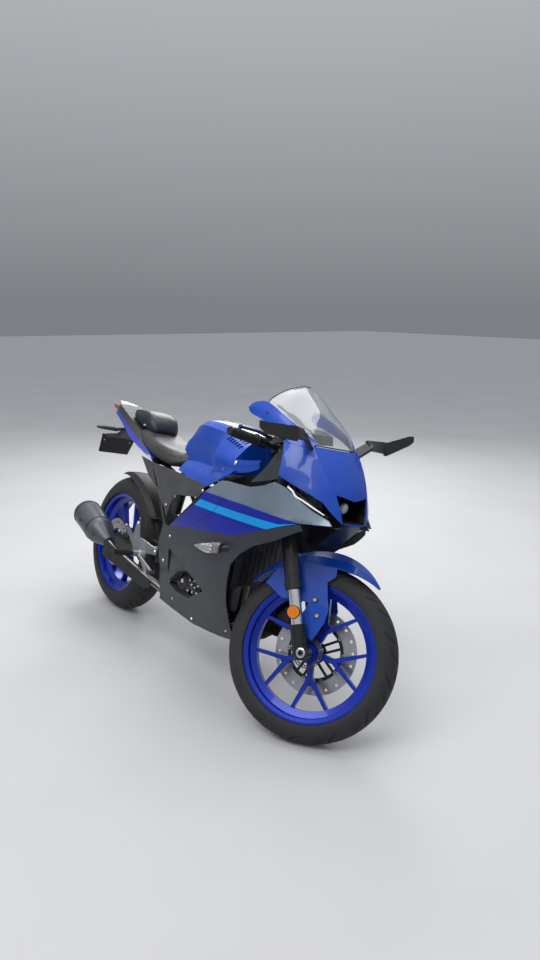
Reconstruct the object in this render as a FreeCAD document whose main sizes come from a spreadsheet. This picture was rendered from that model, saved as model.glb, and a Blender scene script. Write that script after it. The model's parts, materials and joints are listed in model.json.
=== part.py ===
import FreeCAD, Part
import math
import os
import Sketcher

# Sport bike, parked on its side stand with the steering against its left stop.
# Every piece is drawn upright with the bars straight: X forward, Y to the rider's left, Z up.
# The drawing origin is on the ground under the swingarm pivot. At the end the pieces are
# turned to the parked pose and shifted so that the origin is under the middle of the bike.

V = FreeCAD.Vector
document = FreeCAD.newDocument("sport_bike")

# The driving sizes: name, value (millimetres or degrees), what it is
SIZES = [
    ("pivot_height", 400.0, "swingarm pivot above the ground"),
    ("swingarm_reach", 500.0, "pivot to rear axle, along the bike"),
    ("swingarm_drop", 86.1, "rear axle below the pivot"),
    ("head_x", 535.3, "lower end of the head tube, ahead of the pivot"),
    ("head_z", 788.8, "lower end of the head tube, above the ground"),
    ("head_length", 128.0, "head tube"),
    ("rake_angle", 26.0, "steering axis from upright"),
    ("fork_drop", 570.0, "head tube's lower end to the axle, along the steering axis"),
    ("clamp_offset", 34.0, "fork legs ahead of the steering axis"),
    ("axle_lead", 10.33, "front axle ahead of the fork legs"),
    ("fork_spread", 98.0, "fork leg from the middle"),
    ("lean_angle", 13.2, "lean on the side stand"),
    ("steer_lock", 32.08, "steering stop, to each side"),
    ("flange_radius", 232.0, "rim flange, both wheels"),
    ("bead_seat_radius", 219.0, "tyre seat on the rim"),
    ("well_radius", 197.0, "drop centre of the rim"),
    ("front_tyre_radius", 295.9, "front tyre, outside"),
    ("front_crown_radius", 50.0, "front tyre's round section"),
    ("front_rim_half", 41.0, "half of the front rim's width"),
    ("rear_tyre_radius", 313.9, "rear tyre, outside"),
    ("rear_crown_radius", 70.0, "rear tyre's round section"),
    ("rear_rim_half", 59.0, "half of the rear rim's width"),
    ("tyre_wall", 9.0, "thickness of a tyre"),
    ("flange_wall", 5.0, "thickness of the rim"),
    ("spoke_pairs", 5.0, "forked spokes in a wheel"),
    ("axle_radius", 8.5, "both axles"),
    ("running_gap", 0.3, "between a part that turns and its shaft"),
    ("seat_gap", 0.3, "between pieces that are bolted together"),
    ("stanchion_radius", 20.5, "chromed lower fork tube"),
    ("fork_tube_radius", 27.0, "outer fork tube"),
    ("fork_tube_start", 212.0, "lower end of the outer tube, above the axle"),
    ("fork_tube_top", 738.0, "upper end of the outer tube, above the axle"),
    ("front_disc_radius", 146.0, "front brake disc"),
    ("front_disc_inner", 97.0, "front disc carrier, inside"),
    ("rear_disc_radius", 110.0, "rear brake disc"),
    ("disc_wall", 4.5, "thickness of the discs"),
    ("front_disc_place", 60.0, "front disc from the middle"),
    ("rear_disc_place", 76.0, "rear disc from the middle"),
    ("sprocket_radius", 88.0, "rear sprocket"),
    ("chain_place", 82.0, "chain from the middle"),
    ("chain_width", 13.0, "chain, outside its pins"),
    ("panel_wall", 3.0, "body panels"),
    ("panel_gap", 0.8, "between two body panels"),
    ("grip_radius", 16.0, "rubber grip"),
    ("bar_radius", 11.0, "clip-on bar"),
    ("stand_length", 290.0, "side stand, pivot to foot along the leg"),
    ("paddock_hole_radius", 4.0, "threaded hole for a paddock stand bobbin"),
    ("stem_bore_radius", 8.5, "hollow steering stem"),
    ("plate_hole_radius", 3.0, "number plate holes"),
    ("plate_hole_half", 70.0, "number plate hole from the middle"),
]

sheet = document.addObject("Spreadsheet::Sheet", "sizes")
for row_number, (size_name, size_value, size_note) in enumerate(SIZES, start=1):
    sheet.set("A%d" % row_number, size_name)
    sheet.set("B%d" % row_number, str(size_value))
    sheet.set("C%d" % row_number, size_note)
    sheet.setAlias("B%d" % row_number, size_name)
document.recompute()


def size(name):
    return float(sheet.get(name))


# Places that follow from the driving sizes

RAKE = math.radians(size("rake_angle"))
AXIS_UP = V(-math.sin(RAKE), 0, math.cos(RAKE))
AXIS_AHEAD = V(math.cos(RAKE), 0, math.sin(RAKE))
HEAD = V(size("head_x"), 0, size("head_z"))
FORK_FOOT = HEAD - AXIS_UP * size("fork_drop")
AXLE_OFFSET = size("clamp_offset") + size("axle_lead")
FRONT_AXLE = FORK_FOOT + AXIS_AHEAD * AXLE_OFFSET
REAR_AXLE = V(-size("swingarm_reach"), 0, size("pivot_height") - size("swingarm_drop"))
PIVOT = V(0, 0, size("pivot_height"))

# The fork frame: Z up the steering axis from the axle's level, X ahead, Y left
FORK_FRAME = FreeCAD.Placement(FORK_FOOT, FreeCAD.Rotation(V(0, 1, 0), -size("rake_angle")))
FRONT_WHEEL_FRAME = FreeCAD.Placement(FRONT_AXLE, FreeCAD.Rotation())
REAR_WHEEL_FRAME = FreeCAD.Placement(REAR_AXLE, FreeCAD.Rotation())
UPRIGHT = FreeCAD.Placement()

pieces = []


def keep(item, label, carrier, local=UPRIGHT):
    """Note a finished piece: its label, what carries it, and its place in the upright bike."""
    item.Label = label
    pieces.append((item, carrier, local))
    return item


def shaped(label, shape, carrier, local=UPRIGHT):
    item = document.addObject("Part::Feature", label)
    item.Shape = shape
    return keep(item, label, carrier, local)


# Plane outlines and solids


def polygon(points):
    return Part.makePolygon(list(points) + [points[0]])


def plate(points, depth):
    """A flat plate from a closed outline, thickened along depth."""
    return Part.Face(polygon(points)).extrude(depth)


def side_plate(outline, y_low, y_high):
    """A plate from a side-view outline of (x, z) points, between two widths."""
    corners = [V(x, y_low, z) for x, z in outline]
    return plate(corners, V(0, y_high - y_low, 0))


def both_sides(shape):
    return Part.makeCompound([shape, shape.mirror(V(0, 0, 0), V(0, 1, 0))])


def box_solid(low, high):
    return Part.makeBox(high[0] - low[0], high[1] - low[1], high[2] - low[2], V(*low))


def rod_shape(start, end, radius):
    along = end - start
    return Part.makeCylinder(radius, along.Length, start, along)


def outward(shape):
    """The same solid with its skin facing outward."""
    if shape.Volume < 0:
        return shape.reversed()
    return shape


def fused(shapes):
    first = shapes[0]
    joined = first.multiFuse(shapes[1:])
    return joined.removeSplitter()


def moved_copy(shape, step):
    copy = shape.copy()
    copy.translate(step)
    return copy


def seated(shape, other, step):
    """Cut a piece to fit against another one, with a small gap in the direction of the step."""
    return shape.cut(moved_copy(other, step)).cut(other)


def inset(points, wall, across):
    """Move an open outline inward by a wall, in the plane whose normal is across."""
    edges = [(b - a) for a, b in zip(points[:-1], points[1:])]
    normals = []
    for edge in edges:
        normal = edge.cross(across)
        normal.normalize()
        normals.append(normal)
    moved = []
    for index, point in enumerate(points):
        before = normals[max(index - 1, 0)]
        after = normals[min(index, len(normals) - 1)]
        middle = before + after
        middle.normalize()
        reach = wall / max(middle.dot(after), 0.5)
        moved.append(point + middle * reach)
    return moved


def skin(sections, wall, across, straight=False):
    """A thin shell: each section is an open outline, closed by its own inset copy."""
    wires = []
    for outline in sections:
        inner = inset(outline, wall, across)
        wires.append(polygon(outline + inner[::-1]))
    return outward(Part.makeLoft(wires, True, straight))


def solid_loft(sections, straight=False):
    return outward(Part.makeLoft([polygon(outline) for outline in sections], True, straight))


def bent_tube(points, radius, bend):
    """A round tube along straight runs joined by tangent arcs."""
    edges = []
    last = points[0]
    for before, corner, after in zip(points[:-2], points[1:-1], points[2:]):
        back = before - corner
        ahead = after - corner
        half_turn = (math.pi - back.getAngle(ahead)) / 2
        reach = bend * math.tan(half_turn)
        back.normalize()
        ahead.normalize()
        arc_start = corner + back * reach
        arc_end = corner + ahead * reach
        inward = back + ahead
        inward.normalize()
        to_centre = bend / math.cos(half_turn)
        arc_middle = corner + inward * (to_centre - bend)
        edges.append(Part.LineSegment(last, arc_start).toShape())
        edges.append(Part.Arc(arc_start, arc_middle, arc_end).toShape())
        last = arc_end
    edges.append(Part.LineSegment(last, points[-1]).toShape())
    path = Part.Wire(edges)
    first_run = points[1] - points[0]
    section = Part.Wire(Part.makeCircle(radius, points[0], first_run))
    return path.makePipeShell([section], True, False)


# Parametric features


def origin_plane(body, role):
    for feature in body.Origin.OriginFeatures:
        if feature.Role == role:
            return feature
    raise ValueError(role)


def new_sketch(body, name, role):
    sketch = body.newObject("Sketcher::SketchObject", name)
    sketch.AttachmentSupport = [(origin_plane(body, role), "")]
    sketch.MapMode = "FlatFace"
    return sketch


def draw_polygon(sketch, points):
    """Closed outline of (u, v) points, its corners joined and its first corner held."""
    first = sketch.GeometryCount
    count = len(points)
    corners = [V(u, v, 0) for u, v in points]
    for index in range(count):
        sketch.addGeometry(Part.LineSegment(corners[index], corners[(index + 1) % count]))
    for index in range(count):
        following = first + (index + 1) % count
        sketch.addConstraint(Sketcher.Constraint("Coincident", first + index, 2, following, 1))


def draw_circle(sketch, centre, radius_size, extra=""):
    """A circle whose radius is bound to a named size."""
    index = sketch.addGeometry(Part.Circle(V(centre[0], centre[1], 0), V(0, 0, 1), size(radius_size)))
    constraint = sketch.addConstraint(Sketcher.Constraint("Radius", index, size(radius_size)))
    sketch.setExpression("Constraints[%d]" % constraint, "sizes.%s%s" % (radius_size, extra))


def cylinder(name, radius_size, height, start, direction, extra=""):
    """A round bar whose radius is bound to a named size."""
    bar = document.addObject("Part::Cylinder", name)
    bar.setExpression("Radius", "sizes.%s%s" % (radius_size, extra))
    bar.Height = height
    bar.Placement = FreeCAD.Placement(start, FreeCAD.Rotation(V(0, 0, 1), direction))
    return bar


# Wheels: a forged-look rim with forked spokes, drawn about its own axle


def rim_section(half_width):
    """The rim's cross-section, (across, radius), open to the tyre."""
    flange = size("flange_radius")
    bead = size("bead_seat_radius")
    well = size("well_radius")
    wall = size("flange_wall")
    well_half = half_width * 0.34
    shoulder = half_width * 0.54
    outside = [
        (-half_width, flange), (wall - half_width, flange), (wall - half_width, bead),
        (-shoulder, bead - 1), (-well_half, well),
    ]
    inside = [
        (half_width, flange - wall - 2), (half_width - 3, bead - wall),
        (shoulder - 1, bead - wall - 2), (well_half - 2, well - wall),
    ]
    mirrored_outside = [(-across, radius) for across, radius in reversed(outside)]
    mirrored_inside = [(-across, radius) for across, radius in reversed(inside)]
    return outside + mirrored_outside + inside + mirrored_inside


def spoke_outline(hub_radius, split_radius, stem_half, arm_half):
    """One forked spoke seen from the side: a stem that splits into two arms."""
    arm_turn = math.radians(90.0 / size("spoke_pairs"))
    end_radius = size("well_radius") - 0.6 * size("flange_wall")
    end = (end_radius * math.cos(arm_turn), end_radius * math.sin(arm_turn))
    run = (end[0] - split_radius, end[1])
    length = math.hypot(run[0], run[1])
    side = (-run[1] / length * arm_half, run[0] / length * arm_half)
    upper = [
        (hub_radius, stem_half), (split_radius - 6, stem_half * 0.85),
        (end[0] + side[0], end[1] + side[1]), (end[0] - side[0], end[1] - side[1]),
    ]
    crotch = split_radius + arm_half * length / run[1]
    lower = [(u, -v) for u, v in reversed(upper)]
    return upper + [(crotch, 0)] + lower


def revolve_about_axle(body, name, section):
    """Turn a section of (across, radius) points about the axle line."""
    sketch = new_sketch(body, name + "_sketch", "XY_Plane")
    draw_polygon(sketch, [(radius, across) for across, radius in section])
    turned = body.newObject("PartDesign::Revolution", name)
    turned.Profile = sketch
    turned.ReferenceAxis = (origin_plane(body, "Y_Axis"), [""])
    turned.Angle = 360
    return turned


def make_rim(label, carrier, frame, half_width, hub, arm_depth, boss_radius, disc_place):
    body = document.addObject("PartDesign::Body", label)
    bore = size("axle_radius") + size("running_gap")
    hub_outline = [(hub[0][0], bore)] + hub + [(hub[-1][0], bore)]
    hub_radius = hub[1][1]
    revolve_about_axle(body, label + "_hub", hub_outline)
    document.recompute()
    spoke_sketch = new_sketch(body, label + "_spoke_sketch", "XZ_Plane")
    draw_polygon(spoke_sketch, spoke_outline(hub_radius - 6, 88, 11, 5.5))
    spoke = body.newObject("PartDesign::Pad", label + "_spoke")
    spoke.Profile = spoke_sketch
    spoke.Length = arm_depth
    spoke.Midplane = True
    boss_sketch = new_sketch(body, label + "_boss_sketch", "XZ_Plane")
    boss_sketch.addGeometry(Part.Circle(V(boss_radius, 0, 0), V(0, 0, 1), 8))
    boss = body.newObject("PartDesign::Pad", label + "_boss")
    boss.Profile = boss_sketch
    boss.Length = abs(disc_place) - size("disc_wall") / 2 - size("seat_gap")
    boss.Reversed = disc_place > 0
    document.recompute()
    pattern = body.newObject("PartDesign::PolarPattern", label + "_spokes")
    pattern.Originals = [spoke, boss]
    pattern.Axis = (origin_plane(body, "Y_Axis"), [""])
    pattern.Angle = 360
    pattern.setExpression("Occurrences", "sizes.spoke_pairs")
    body.Tip = pattern
    document.recompute()
    barrel = revolve_about_axle(body, label + "_barrel", rim_section(half_width))
    body.Tip = barrel
    return keep(body, label, carrier, frame)


def tyre_section(radius, crown, rim_half):
    """A tyre's cross-section, (across, radius): round tread, side walls and beads."""
    centre = radius - crown
    wall = size("tyre_wall")
    inner = crown - wall
    bead = size("bead_seat_radius") + size("seat_gap")
    heel = rim_half - size("flange_wall") - 1.2
    toe = heel - wall
    above_flange = size("flange_radius") + 1
    end_angle = math.acos((above_flange - centre) / crown)
    outer_steps = 4
    inner_steps = 2
    outside = []
    for step in range(-outer_steps, outer_steps + 1):
        turn = end_angle * step / outer_steps
        outside.append((crown * math.sin(turn), centre + crown * math.cos(turn)))
    inside = []
    inner_end = math.acos((above_flange + wall - centre) / inner)
    for step in range(inner_steps, -inner_steps - 1, -1):
        turn = inner_end * step / inner_steps
        inside.append((inner * math.sin(turn), centre + inner * math.cos(turn)))
    right_bead = [(heel, above_flange), (heel, bead), (toe, bead), (toe, above_flange + wall)]
    left_bead = [(-across, radius) for across, radius in reversed(right_bead)]
    return outside + right_bead + inside + left_bead


def make_tyre(label, carrier, frame, section):
    body = document.addObject("PartDesign::Body", label)
    revolve_about_axle(body, label + "_tread", section)
    return keep(body, label, carrier, frame)


FRONT_TYRE = tyre_section(size("front_tyre_radius"), size("front_crown_radius"), size("front_rim_half"))
REAR_TYRE = tyre_section(size("rear_tyre_radius"), size("rear_crown_radius"), size("rear_rim_half"))

# Parked pose: lean to the left, pitch until both tyres touch the ground

LEAN = FreeCAD.Rotation(V(1, 0, 0), -size("lean_angle"))
STEER = FreeCAD.Rotation(AXIS_UP, size("steer_lock"))
TURNED = FreeCAD.Placement(V(0, 0, 0), STEER, FORK_FOOT)


def lowest(rotation, centre, axle_direction, section):
    """Height of the lowest point of a tyre whose section is known, after a rotation."""
    axle = rotation.multVec(axle_direction)
    level = math.sqrt(max(0.0, 1 - axle.z * axle.z))
    height = rotation.multVec(centre).z
    return min(height - radius * level + across * axle.z for across, radius in section)


def parked_pose():
    pitch = 0.0
    wheelbase = FRONT_AXLE.x - REAR_AXLE.x
    turned_axle = STEER.multVec(V(0, 1, 0))
    turned_centre = TURNED.multVec(FRONT_AXLE)
    for _ in range(60):
        rotation = FreeCAD.Rotation(V(0, 1, 0), pitch).multiply(LEAN)
        front = lowest(rotation, turned_centre, turned_axle, FRONT_TYRE)
        rear = lowest(rotation, REAR_AXLE, V(0, 1, 0), REAR_TYRE)
        pitch += math.degrees((front - rear) / wheelbase) * 0.9
    rotation = FreeCAD.Rotation(V(0, 1, 0), pitch).multiply(LEAN)
    rear = lowest(rotation, REAR_AXLE, V(0, 1, 0), REAR_TYRE)
    return FreeCAD.Placement(V(0, 0, -rear), rotation)


PARKED = parked_pose()

# The side stand, worked out on the parked bike's level ground and carried back to the upright bike
STAND_PIVOT = V(6, 132, 262)
STAND_AHEAD = 70.0
PARKED_PIVOT = PARKED.multVec(STAND_PIVOT)
STAND_OUTWARD = math.sqrt(size("stand_length") ** 2 - (PARKED_PIVOT.z - 8) ** 2 - STAND_AHEAD ** 2)
PARKED_FOOT = V(PARKED_PIVOT.x + STAND_AHEAD, PARKED_PIVOT.y + STAND_OUTWARD, 8)
STAND_LEG = PARKED.Rotation.inverted().multVec(PARKED_FOOT - PARKED_PIVOT)
STAND_LEG.normalize()
STAND_AXIS = STAND_LEG.cross(V(-1, 0, 0))
STAND_AXIS.normalize()

make_tyre("front_tyre", "front_wheel", FRONT_WHEEL_FRAME, FRONT_TYRE)
make_tyre("rear_tyre", "rear_wheel", REAR_WHEEL_FRAME, REAR_TYRE)

# Hub outlines, across and radius, from the right side to the left; the rear one carries the sprocket
FRONT_HUB = [(-47, 28), (-33, 36), (33, 36), (47, 28)]
SPROCKET_FACE = size("chain_place") - 3 - size("seat_gap")
REAR_HUB = [(-58, 38), (-44, 46), (44, 46), (54, 52), (SPROCKET_FACE, 52)]
make_rim("front_rim", "front_wheel", FRONT_WHEEL_FRAME, size("front_rim_half"), FRONT_HUB, 20, 103,
         size("front_disc_place"))
make_rim("rear_rim", "rear_wheel", REAR_WHEEL_FRAME, size("rear_rim_half"), REAR_HUB, 26, 70,
         -size("rear_disc_place"))


def make_disc(label, carrier, frame, outer_size, inner_radius, place, slots, slot_radius):
    """A brake disc with a ring of cooling holes, padded from its own plane."""
    body = document.addObject("PartDesign::Body", label)
    sketch = new_sketch(body, label + "_sketch", "XZ_Plane")
    draw_circle(sketch, (0, 0), outer_size)
    sketch.addGeometry(Part.Circle(V(0, 0, 0), V(0, 0, 1), inner_radius))
    pad = body.newObject("PartDesign::Pad", label + "_band")
    pad.Profile = sketch
    pad.Midplane = True
    pad.setExpression("Length", "sizes.disc_wall")
    document.recompute()
    full_volume = pad.Shape.Volume
    hole_sketch = new_sketch(body, label + "_hole_sketch", "XZ_Plane")
    hole_sketch.addGeometry(Part.Circle(V(slot_radius, 0, 0), V(0, 0, 1), 5))
    hole = body.newObject("PartDesign::Pocket", label + "_hole")
    hole.Profile = hole_sketch
    hole.Type = "ThroughAll"
    hole.Midplane = True
    document.recompute()
    assert hole.Shape.Volume < full_volume
    pattern = body.newObject("PartDesign::PolarPattern", label + "_holes")
    pattern.Originals = [hole]
    pattern.Axis = (origin_plane(body, "Y_Axis"), [""])
    pattern.Angle = 360
    pattern.Occurrences = slots
    body.Tip = pattern
    place_in_wheel = FreeCAD.Placement(V(0, place, 0), FreeCAD.Rotation())
    return keep(body, label, carrier, frame.multiply(place_in_wheel))


make_disc("front_disc", "front_wheel", FRONT_WHEEL_FRAME, "front_disc_radius",
          size("front_disc_inner"), size("front_disc_place"), 20, 131)
make_disc("rear_disc", "rear_wheel", REAR_WHEEL_FRAME, "rear_disc_radius",
          62, -size("rear_disc_place"), 20, 92)


def make_sprocket():
    """The rear sprocket: a toothed plate carried by a ring against the hub."""
    tooth_count = 40
    outer = size("sprocket_radius")
    root = outer - 6
    points = []
    for tooth in range(tooth_count):
        for share, radius in ((0.0, root), (0.35, outer), (0.65, outer)):
            turn = 2 * math.pi * (tooth + share) / tooth_count
            points.append((radius * math.cos(turn), radius * math.sin(turn)))
    body = document.addObject("PartDesign::Body", "rear_sprocket")
    sketch = new_sketch(body, "sprocket_sketch", "XZ_Plane")
    draw_polygon(sketch, points)
    sketch.addGeometry(Part.Circle(V(0, 0, 0), V(0, 0, 1), 44))
    pad = body.newObject("PartDesign::Pad", "sprocket_plate")
    pad.Profile = sketch
    pad.Midplane = True
    pad.Length = 6
    place = FreeCAD.Placement(V(0, size("chain_place"), 0), FreeCAD.Rotation())
    return keep(body, "rear_sprocket", "rear_wheel", REAR_WHEEL_FRAME.multiply(place))


make_sprocket()

# Front end, drawn in the fork frame

LEG_X = size("clamp_offset")
LEG_Y = size("fork_spread")
HEAD_LOW = size("fork_drop")
HEAD_TOP = HEAD_LOW + size("head_length")
TUBE_RADIUS = size("fork_tube_radius")
TUBE_START = size("fork_tube_start")
TUBE_TOP = size("fork_tube_top")
SIDES = (1, -1)


def make_clamps():
    """Lower and upper clamps on one stem, bored for the fork tubes."""
    lower_z = HEAD_LOW - 34
    upper_z = HEAD_TOP + 14
    outline = [(-26, -18), (8, -LEG_Y - 34), (LEG_X + 26, -LEG_Y - 34), (LEG_X + 36, -LEG_Y + 18),
               (22, -30), (22, 30), (LEG_X + 36, LEG_Y - 18), (LEG_X + 26, LEG_Y + 34),
               (8, LEG_Y + 34), (-26, 18)]
    lower = plate([V(x, y, lower_z) for x, y in outline], V(0, 0, 28))
    upper = plate([V(x, y, upper_z) for x, y in outline], V(0, 0, 18))
    stem = rod_shape(V(0, 0, lower_z), V(0, 0, upper_z + 26), 15)
    joined = fused([lower, upper, stem])
    bore = rod_shape(V(0, 0, lower_z - 1), V(0, 0, upper_z + 30), size("stem_bore_radius"))
    joined = joined.cut(bore)
    for side in SIDES:
        tube = rod_shape(V(LEG_X, side * LEG_Y, lower_z - 5), V(LEG_X, side * LEG_Y, upper_z + 30),
                         TUBE_RADIUS + size("seat_gap"))
        joined = joined.cut(tube)
    return shaped("triple_clamps", joined, "steering", FORK_FRAME)


make_clamps()


def make_fork_tubes():
    """Outer tubes, open at their lower end for the chromed tubes."""
    tubes = []
    for side in SIDES:
        foot = V(LEG_X, side * LEG_Y, TUBE_START)
        top = V(LEG_X, side * LEG_Y, TUBE_TOP)
        tube = rod_shape(foot, top, TUBE_RADIUS)
        collar = rod_shape(foot, foot + V(0, 0, 22), TUBE_RADIUS + 2.5)
        pocket = rod_shape(foot, foot + V(0, 0, 82), size("stanchion_radius") + size("seat_gap"))
        tubes.append(fused([tube, collar]).cut(pocket))
    return shaped("fork_tubes", Part.makeCompound(tubes), "steering", FORK_FRAME)


make_fork_tubes()


def make_stanchions():
    """The chromed lower tubes, from the axle lugs up into the outer tubes."""
    left = cylinder("stanchion_left", "stanchion_radius", 0, V(LEG_X, LEG_Y, 92), V(0, 0, 1))
    right = cylinder("stanchion_right", "stanchion_radius", 0, V(LEG_X, -LEG_Y, 92), V(0, 0, 1))
    for tube in (left, right):
        tube.setExpression("Height", "sizes.fork_tube_start - 92 + 78")
    pair = document.addObject("Part::Compound", "fork_stanchions")
    pair.Links = [left, right]
    return keep(pair, "fork_stanchions", "steering", FORK_FRAME)


make_stanchions()


def make_axle_lugs():
    """The cast lugs at the foot of both legs, with the axle between them."""
    parts = []
    for side in SIDES:
        parts.append(rod_shape(V(LEG_X, side * LEG_Y, -14), V(LEG_X, side * LEG_Y, 92), 25))
        boss_start = V(AXLE_OFFSET, side * (LEG_Y - 24), 0)
        parts.append(rod_shape(boss_start, boss_start + V(0, side * 50, 0), 24))
    reach = LEG_Y + 32
    axle = rod_shape(V(AXLE_OFFSET, -reach, 0), V(AXLE_OFFSET, reach, 0), size("axle_radius"))
    joined = fused(parts + [axle])
    socket = rod_shape(V(AXLE_OFFSET, -reach - 1, 0), V(AXLE_OFFSET, -reach + 8, 0), 5)
    return shaped("axle_lugs", joined.cut(socket), "steering", FORK_FRAME)


make_axle_lugs()

# Handlebars, one side from the other by mirroring
BAR_HEIGHT = HEAD_TOP - 5
GRIP_END = V(-50, 338, BAR_HEIGHT + 18)
GRIP_START = V(-7, 230, BAR_HEIGHT + 10)


def mirrored(point, side):
    return V(point.x, side * point.y, point.z)


def make_clip_ons():
    bars = []
    for side in SIDES:
        leg = V(LEG_X, side * LEG_Y, 0)
        ring = rod_shape(leg + V(0, 0, BAR_HEIGHT - 13), leg + V(0, 0, BAR_HEIGHT + 13), TUBE_RADIUS + 9)
        along = mirrored(GRIP_END - GRIP_START, side)
        end = mirrored(GRIP_END, side)
        root = end - along * 2.04
        bar = rod_shape(root, end, size("bar_radius"))
        hole = rod_shape(leg + V(0, 0, BAR_HEIGHT - 60), leg + V(0, 0, BAR_HEIGHT + 60),
                         TUBE_RADIUS + size("seat_gap"))
        bars.append(fused([ring, bar]).cut(hole))
    return shaped("clip_ons", Part.makeCompound(bars), "steering", FORK_FRAME)


make_clip_ons()


def make_grips():
    grips = []
    for side in SIDES:
        start = mirrored(GRIP_START, side)
        end = mirrored(GRIP_END, side)
        along = end - start
        along.normalize()
        grip = rod_shape(start, end - along * 2, size("grip_radius"))
        flange = rod_shape(start, start + along * 6, size("grip_radius") + 5)
        weight = rod_shape(end - along * 2, end + along * 14, size("grip_radius") - 2)
        hole = rod_shape(start - along, end + along * 0.5, size("bar_radius") + size("seat_gap"))
        grips.append(fused([grip, flange, weight]).cut(hole))
    return shaped("grips", Part.makeCompound(grips), "steering", FORK_FRAME)


make_grips()


def make_levers():
    """Brake lever right, clutch lever left, each with its perch on the bar."""
    levers = []
    for side in SIDES:
        start = mirrored(GRIP_START, side)
        along = mirrored(GRIP_END - GRIP_START, side)
        along.normalize()
        perch_end = start - along * 6
        perch_start = start - along * 40
        ahead = V(0, 0, 1).cross(along)
        if ahead.x < 0:
            ahead = ahead * -1
        ahead.normalize()
        clamp = rod_shape(perch_start, perch_end, size("bar_radius") + 8)
        arm = rod_shape(perch_start + along * 14 + ahead * 12, perch_start + along * 20 + ahead * 46, 9)
        knuckle = perch_start + along * 20 + ahead * 46
        blade_middle = knuckle + along * 70 + ahead * 12
        blade_tip = knuckle + along * 150 + ahead * 2
        blade = fused([rod_shape(knuckle, blade_middle, 6), rod_shape(blade_middle, blade_tip, 5),
                       Part.makeSphere(7, blade_middle), Part.makeSphere(8, blade_tip)])
        hole = rod_shape(perch_start - along * 5, perch_end + along * 5,
                         size("bar_radius") + size("seat_gap"))
        levers.append(fused([clamp, arm, blade]).cut(hole))
    return shaped("levers", Part.makeCompound(levers), "steering", FORK_FRAME)


make_levers()


def make_fender():
    """A pointed fender over the tyre, drawn about the front axle with a leg to each lug."""
    # angle from ahead, crown radius, shoulder across, shoulder radius, edge across, edge radius
    stations = [
        (61, 321, 4, 320, 8, 317),
        (70, 335, 24, 328, 40, 312),
        (84, 347, 38, 326, 58, 300),
        (102, 345, 42, 324, 60, 292),
        (124, 335, 42, 320, 60, 296),
        (149, 320, 38, 312, 57, 300),
    ]
    sections = []
    for angle, crown, shoulder, shoulder_radius, edge, edge_radius in stations:
        turn = math.radians(angle)
        out = V(math.cos(turn), 0, math.sin(turn))
        half = [(edge, edge_radius), (shoulder, shoulder_radius)]
        profile = [(-across, radius) for across, radius in half] + [(0, crown)]
        profile += [(across, radius) for across, radius in reversed(half)]
        sections.append([out * radius + V(0, across, 0) for across, radius in profile])
    wall = size("panel_wall")
    wires = []
    for outline in sections:
        down = outline[2] * -1
        down.normalize()
        inner = [point + down * wall for point in outline]
        wires.append(polygon(outline + inner[::-1]))
    cover = Part.makeLoft(wires, True, False)
    # Side view of the skirt: a slanted upper part inside the fork tubes' collars, then a flat leg
    # beside the disc, down to the lug
    upper_leg = [(-104, 286), (8, 294), (14, 268), (-8, 240), (26, 156), (-44, 156), (-100, 152),
                 (-141, 141), (-212, 172), (-190, 226)]
    lower_leg = [(-44, 160), (26, 160), (28, 110), (8, 44), (-36, 58), (-56, 96)]
    slant = 0.073
    legs = []
    for side in SIDES:
        corners = [V(x, side * (56 + (300 - z) * slant), z) for x, z in upper_leg]
        legs.append(plate(corners, V(0, side * 3.5, 0)))
        legs.append(side_plate(lower_leg, min(side * 69, side * 72.4), max(side * 69, side * 72.4)))
    joined = fused([outward(cover)] + legs)
    return shaped("front_fender", joined, "steering", FRONT_WHEEL_FRAME)


make_fender()


def make_front_caliper():
    """The caliper behind the left leg, open for the disc, with its lug to the leg."""
    place = size("front_disc_place")
    inside_rim = Part.makeCylinder(size("well_radius") - 15, 60, V(0, place - 30, 0), V(0, 1, 0))
    outer_half = box_solid((-186, place + 6, 34), (-122, place + 32, 132))
    inner_half = box_solid((-170, place - 26, 40), (-122, place + 7, 128)).common(inside_rim)
    lug = side_plate([(-130, 50), (-30, 20), (-24, 70), (-130, 120)], place + 16, place + 28)
    slot = Part.makeCylinder(size("front_disc_radius") + 6, size("disc_wall") + 10,
                             V(0, place - size("disc_wall") / 2 - 5, 0), V(0, 1, 0))
    leg_foot = AXIS_AHEAD * (size("clamp_offset") - AXLE_OFFSET) + V(0, LEG_Y, 0)
    leg = rod_shape(leg_foot - AXIS_UP * 20, leg_foot + AXIS_UP * 220, 25 + size("seat_gap"))
    joined = fused([outer_half, inner_half, lug]).cut(slot).cut(leg)
    return shaped("front_caliper", joined, "steering", FRONT_WHEEL_FRAME)


make_front_caliper()


def make_reflectors():
    discs = []
    for side in SIDES:
        start = V(LEG_X, side * (LEG_Y + size("stanchion_radius") + size("seat_gap")), 132)
        stem = rod_shape(start, start + V(0, side * 6, 0), 6)
        discs.append(fused([stem, rod_shape(start + V(0, side * 5, 0), start + V(0, side * 12, 0), 20)]))
    return shaped("reflectors", Part.makeCompound(discs), "steering", FORK_FRAME)


make_reflectors()

# Chassis


def box_section(x, y, z, wide, tall):
    return [V(x, y - wide / 2, z - tall / 2), V(x, y + wide / 2, z - tall / 2),
            V(x, y + wide / 2, z + tall / 2), V(x, y - wide / 2, z + tall / 2)]


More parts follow.
